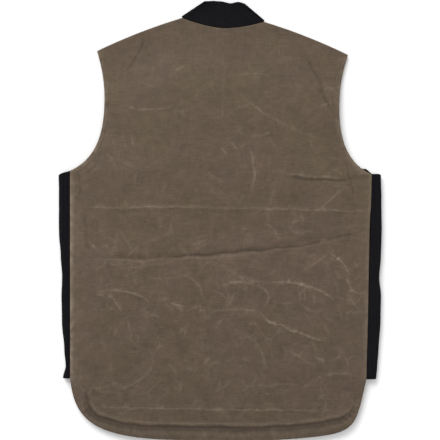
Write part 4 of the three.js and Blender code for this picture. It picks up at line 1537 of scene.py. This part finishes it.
def strength_property(label, description, strength, limit=1000):
    return bpy.props.FloatProperty(
        name=label, description=description, default=strength, min=0, max=limit
    )


class VestCanvasSettings(bpy.types.PropertyGroup):
    olive_colour: colour_property("Olive", "Canvas where the wax is olive", from_screen(84, 72.5, 57))
    reddish_colour: colour_property("Reddish", "Canvas where the wax is reddish", from_screen(86, 71.5, 60))
    # The worn colour also paints the highlights on the side edges and the hem's puckers, and the wear
    # strength scales them
    worn_and_highlight_colour: colour_property("Worn", "Along creases that cracked the wax", from_screen(138, 125, 108))
    wear_and_highlight_strength: strength_property("Wear", "How light the creases are", 0.62, 1)
    # How strong the painted shade and shadows are
    shade_strength: strength_property("Shade", "How dark the tucked folds are", 0.4, 1)
    crease_height: length_property("Crease height", "Height of the sharpest creases", 0.0003)
    yarn_pitch: length_property("Yarn pitch", "Room that one yarn of the canvas takes", 0.00055)


class VestSeamSettings(bpy.types.PropertyGroup):
    stitch_spacing: length_property("Spacing", "From one stitch to the next", 0.0036)
    stitch_length: length_property("Stitch length", "Length of the thread that shows", 0.0028)
    thread_width: length_property("Thread width", "Thickness of the thread", 0.0006)
    # A lit and a shaded tone of the same thread, painted light and shade
    thread_lit_colour: colour_property("Thread", "Lighter side of the thread", from_screen(112, 97, 80))
    thread_shaded_colour: colour_property("Thread shade", "Darker side of the thread", from_screen(84, 72, 59))


class VestKnitSettings(bpy.types.PropertyGroup):
    rib_pitch: length_property("Rib pitch", "From one rib to the next", 0.0031)
    rib_depth: length_property("Rib depth", "Depth of the grooves between ribs", 0.0007)
    yarn_colour: colour_property("Yarn", "Colour on the ribs", from_screen(27, 26, 29))
    # The groove colour is painted shade between the ribs
    groove_shade_colour: colour_property("Groove", "Colour between the ribs", from_screen(12, 11, 14))


class VestZipSettings(bpy.types.PropertyGroup):
    tooth_pitch: length_property("Tooth pitch", "From one tooth to the next on one side", 0.0032)
    tape_colour: colour_property("Tape", "Lighter yarns of the tape", from_screen(62, 54, 46))
    tape_dark: colour_property("Tape shade", "Darker yarns of the tape", from_screen(38, 33, 29))
    teeth_colour: colour_property("Teeth", "Teeth where they are rubbed", from_screen(126, 112, 88))
    teeth_dark: colour_property("Teeth shade", "Teeth where they are dull", from_screen(78, 68, 54))


class VestStageSettings(bpy.types.PropertyGroup):
    floor_colour: colour_property("Floor", "Colour of the floor", (0.93, 0.93, 0.93))
    sky_strength: strength_property("Sky", "Strength of the even light", 0.8)
    key_strength: strength_property("Key", "Strength of the soft light from the upper left", 3.1)
    camera_height: length_property("Camera height", "Height of the camera over the floor", 3.0)
    view_width: length_property("View width", "Width of the picture at the vest's edges", 0.7964)


SETTINGS = {
    "vest_canvas": VestCanvasSettings,
    "vest_seams": VestSeamSettings,
    "vest_knit": VestKnitSettings,
    "vest_zip": VestZipSettings,
    "vest_stage": VestStageSettings,
}


# Operators


def declare(piece, slot, *nodes):
    """Says what a finished piece rides on and stands for. The slot is not used"""
    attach(piece, PIECE_BODY)
    if nodes:
        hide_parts(*nodes)


class VestOperator:
    bl_options = {"REGISTER", "UNDO"}


class OBJECT_OT_vest_back(VestOperator, bpy.types.Operator):
    """Make the canvas back with its creases and its hem"""

    bl_idname = "object.vest_back"
    bl_label = "Canvas Back"

    def execute(self, context):
        settings = context.scene.vest_canvas
        material = material_for("creased_canvas", canvas_material, settings)
        piece = make_back(settings, material)
        declare(piece, "waxed_canvas", "back_panel")
        return {"FINISHED"}


class OBJECT_OT_vest_fronts(VestOperator, bpy.types.Operator):
    """Make the two canvas fronts that the vest lies on"""

    bl_idname = "object.vest_fronts"
    bl_label = "Canvas Fronts"

    def execute(self, context):
        settings = context.scene.vest_canvas
        material = material_for("creased_canvas", canvas_material, settings)
        for label, side in SIDES:
            piece = make_front(f"front_canvas_{label}", side, settings, material)
            declare(piece, "waxed_canvas", f"front_panel_{label}")
        return {"FINISHED"}


class OBJECT_OT_vest_side_ribs(VestOperator, bpy.types.Operator):
    """Make the rib-knit bands at the sides"""

    bl_idname = "object.vest_side_ribs"
    bl_label = "Side Ribs"

    def execute(self, context):
        settings = context.scene.vest_knit
        material = material_for("ribbed_yarn", knit_material, settings)
        binding = make_pit_binding(material)
        declare(binding, "rib_knit")
        for label, side in SIDES:
            piece = make_side_rib(f"side_knit_{label}", side, settings, material)
            piece = press_ribs(piece, settings, material)
            declare(piece, "rib_knit", f"side_rib_{label}")
        return {"FINISHED"}


class OBJECT_OT_vest_collar(VestOperator, bpy.types.Operator):
    """Make the rib-knit collar"""

    bl_idname = "object.vest_collar"
    bl_label = "Collar"

    def execute(self, context):
        settings = context.scene.vest_knit
        material = material_for("ribbed_yarn", knit_material, settings)
        piece = press_ribs(make_collar(settings, material), settings, material)
        declare(piece, "rib_knit", "collar")
        return {"FINISHED"}


class OBJECT_OT_vest_zip(VestOperator, bpy.types.Operator):
    """Make the closed zip between the fronts"""

    bl_idname = "object.vest_zip"
    bl_label = "Front Zip"

    def execute(self, context):
        settings = context.scene.vest_zip
        tape = make_tape(material_for("zip_tape", tape_material, settings))
        metal = material_for("zip_teeth", teeth_material, settings)
        declare(tape, "zip", "front_zip")
        fastenings = [make_teeth(settings, metal), make_slider(metal)]
        for piece in fastenings:
            declare(piece, "zip")
        return {"FINISHED"}


class OBJECT_OT_vest_stitches(VestOperator, bpy.types.Operator):
    """Sew the topstitching on the canvas"""

    bl_idname = "object.vest_stitches"
    bl_label = "Topstitching"

    def execute(self, context):
        settings = context.scene.vest_seams
        material = material_for("topstitch_thread", thread_material, settings)
        back = bpy.data.objects["back_canvas"]
        rows = [hem_seam_line(), inset_line(neck_line(), NECK_STITCH_INSET, -1)]
        rows += [inset_line(edge_line(side), SIDE_STITCH_INSET, side) for side in (-1, 1)]
        lines = [laid_on(back, row) for row in rows]
        declare(make_stitches("back_stitches", lines, settings, material), "waxed_canvas")
        for label, side in SIDES:
            front = bpy.data.objects[f"front_canvas_{label}"]
            rows = (
                inset_line(tail_line(side), FRONT_HEM_INSET, side),
                inset_line(closure_line(side), CLOSURE_STITCH_INSET, -side),
                inset_line(edge_line(side), SIDE_STITCH_INSET, side),
            )
            lines = [laid_on(front, row, from_below=True) for row in rows]
            stitches = make_stitches(f"front_stitches_{label}", lines, settings, material)
            declare(stitches, "waxed_canvas")
        return {"FINISHED"}


class OBJECT_OT_vest_stage(VestOperator, bpy.types.Operator):
    """Make the floor, the light and the camera"""

    bl_idname = "object.vest_stage"
    bl_label = "Stage"

    def execute(self, context):
        settings = context.scene.vest_stage
        make_camera(settings)
        make_floor(settings)
        make_lights(settings)
        return {"FINISHED"}


def press_ribs(piece, settings, material):
    inputs = {"Pitch": settings.rib_pitch, "Depth": settings.rib_depth, "Material": material}
    return run_tree(piece, rib_tree(), inputs)


def make_tape(material):
    """The zip's two tapes, side by side"""
    start_y = -BODY_LENGTH + 2 * FRONT_INSET
    end_y = ZIP_TOP_Y - FRONT_INSET
    points, faces = [], []
    share_up = stations(end_y - start_y, TAPE_STEPS[0])
    for side in (-1, 1):
        width = TAPE_WIDTH / 2 - TAPE_GAP
        share_across = stations(width, TAPE_STEPS[1])
        y = mix(start_y, end_y, share_up)[:, None]
        x = middle_at(y) + side * (TAPE_GAP + share_across[None, :] * width)
        middle = np.stack(np.broadcast_arrays(x, y, TAPE_LOW_Z + TAPE_WALL / 2), -1) + SHIFT
        half = half_wall(share_up, share_across, end_y - start_y, width, TAPE_WALL)[..., None]
        rise = half * np.array([0, 0, 1])
        part_points, part_faces = shell(middle + rise, middle - rise, 1, flip=side < 0)
        faces += [[index + sum(map(len, points)) for index in face] for face in part_faces]
        points.append(part_points)
    return new_piece("zip_tape", np.vstack(points), faces, material)


def make_teeth(settings, material):
    """Two rows of teeth that reach between each other"""
    start_y = -BODY_LENGTH + 3 * FRONT_INSET
    end_y = ZIP_TOP_Y - 2 * FRONT_INSET
    height = TAPE_LOW_Z - TEETH_CLEAR
    lines = []
    for side in (-1, 1):
        y = np.arange(start_y + (side + 1) * settings.tooth_pitch / 4, end_y, settings.tooth_pitch)
        x = middle_at(y) + side * (TEETH_WIDTH / 4 - TEETH_LAP)
        z = np.full(len(y), TEETH_CLEAR + height / 2)
        lines.append(np.stack([x, y, z], -1) + SHIFT)
    size = (TEETH_WIDTH / 2 + 2 * TEETH_LAP, height, TOOTH_SHARE * settings.tooth_pitch)
    inputs = {"Spacing": settings.tooth_pitch, "Size": size, "Material": material}
    return run_tree(new_lines("zip_teeth", lines), row_tree("Zip Teeth", "tooth"), inputs)


def make_slider(material):
    """The slider at the top of the zip: a waisted block with rounded edges"""
    mesh = bmesh.new()
    rings = []
    for share, width in SLIDER_SECTIONS:
        y = ZIP_TOP_Y - 2 * FRONT_INSET - SLIDER_LENGTH * (1 - share)
        half = SLIDER_WIDTH / 2 * width
        section = ((-half, SLIDER_CLEAR), (half, SLIDER_CLEAR), (half, TAPE_LOW_Z), (-half, TAPE_LOW_Z))
        places = [Vector((middle_at(y) + x, y, z)) + Vector(SHIFT) for x, z in section]
        rings.append([mesh.verts.new(place) for place in places])
    for ring, following in zip(rings, rings[1:]):
        for index in range(4):
            after = (index + 1) % 4
            mesh.faces.new((ring[index], ring[after], following[after], following[index]))
    mesh.faces.new(rings[0][::-1])
    mesh.faces.new(rings[-1])
    bmesh.ops.recalc_face_normals(mesh, faces=mesh.faces)
    bmesh.ops.bevel(mesh, geom=mesh.edges[:], offset=SLIDER_ROUNDING, segments=2, affect="EDGES")
    data = bpy.data.meshes.new("zip_slider")
    mesh.to_mesh(data)
    mesh.free()
    data.shade_smooth()
    data.materials.append(material)
    return add_object("zip_slider", data)


# Stage

FLOOR_HALF = 4.0
FLOOR_Z = -0.0004
# The camera's place in plan, how high the vest's outline lies, and the camera's sensor in mm
CAMERA_PLACE = (0.0002, -0.0005)
OUTLINE_HEIGHT = 0.008
SENSOR_WIDTH = 36
# Where the soft light stands, and how wide it looks from the vest
KEY_PLACE = (-1.1, 2.4, 1.5)
KEY_ANGLE = math.radians(45)


def make_camera(settings):
    camera = add_object("camera", bpy.data.cameras.new("camera"))
    camera.location = (*CAMERA_PLACE, settings.camera_height)
    camera.data.sensor_width = SENSOR_WIDTH
    distance = settings.camera_height - OUTLINE_HEIGHT
    camera.data.lens = SENSOR_WIDTH * distance / settings.view_width
    bpy.context.scene.camera = camera


def make_floor(settings):
    corners = [(-1, -1), (1, -1), (1, 1), (-1, 1)]
    points = [(x * FLOOR_HALF, y * FLOOR_HALF, FLOOR_Z) for x, y in corners]
    material = material_for("studio_floor", floor_material, settings)
    new_piece("studio_floor", points, [(0, 1, 2, 3)], material)


def make_lights(settings):
    world = bpy.data.worlds.new("studio")
    world.use_nodes = True
    backdrop = world.node_tree.nodes["Background"]
    backdrop.inputs["Color"].default_value = (1, 1, 1, 1)
    backdrop.inputs["Strength"].default_value = settings.sky_strength
    bpy.context.scene.world = world
    light = bpy.data.lights.new("key", "SUN")
    light.energy = settings.key_strength
    light.angle = KEY_ANGLE
    key = add_object("key", light)
    key.location = KEY_PLACE
    key.rotation_euler = (Vector((0, 0, 0)) - key.location).to_track_quat("-Z", "Y").to_euler()
    bpy.context.scene.view_settings.view_transform = "Standard"


class VIEW3D_PT_vest(bpy.types.Panel):
    bl_label = "Waxed Canvas Vest"
    bl_space_type = "VIEW_3D"
    bl_region_type = "UI"
    bl_category = "Vest"

    def draw(self, context):
        for group, operators in PANEL_ROWS.items():
            box = self.layout.box()
            settings = getattr(context.scene, group)
            for name in settings.bl_rna.properties.keys():
                if name not in {"rna_type", "name"}:
                    box.prop(settings, name)
            for operator in operators:
                box.operator(operator.bl_idname)


PANEL_ROWS = {
    "vest_canvas": (OBJECT_OT_vest_fronts, OBJECT_OT_vest_back),
    "vest_knit": (OBJECT_OT_vest_side_ribs, OBJECT_OT_vest_collar),
    "vest_zip": (OBJECT_OT_vest_zip,),
    "vest_seams": (OBJECT_OT_vest_stitches,),
    "vest_stage": (OBJECT_OT_vest_stage,),
}
CLASSES = (
    *SETTINGS.values(),
    *(operator for operators in PANEL_ROWS.values() for operator in operators),
    VIEW3D_PT_vest,
)


def register():
    for entry in CLASSES:
        bpy.utils.register_class(entry)
    for name, group in SETTINGS.items():
        setattr(bpy.types.Scene, name, bpy.props.PointerProperty(type=group))


def unregister():
    for name in SETTINGS:
        delattr(bpy.types.Scene, name)
    for entry in reversed(CLASSES):
        bpy.utils.unregister_class(entry)


def corners(bounds):
    return [list(corner) for corner in bounds]


def main():
    register()
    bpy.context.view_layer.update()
    bpy.ops.object.vest_stage()
    bpy.ops.object.vest_fronts()
    bpy.ops.object.vest_back()
    bpy.ops.object.vest_side_ribs()
    bpy.ops.object.vest_collar()
    bpy.ops.object.vest_zip()
    bpy.ops.object.vest_stitches()


if __name__ == "__main__":
    main()
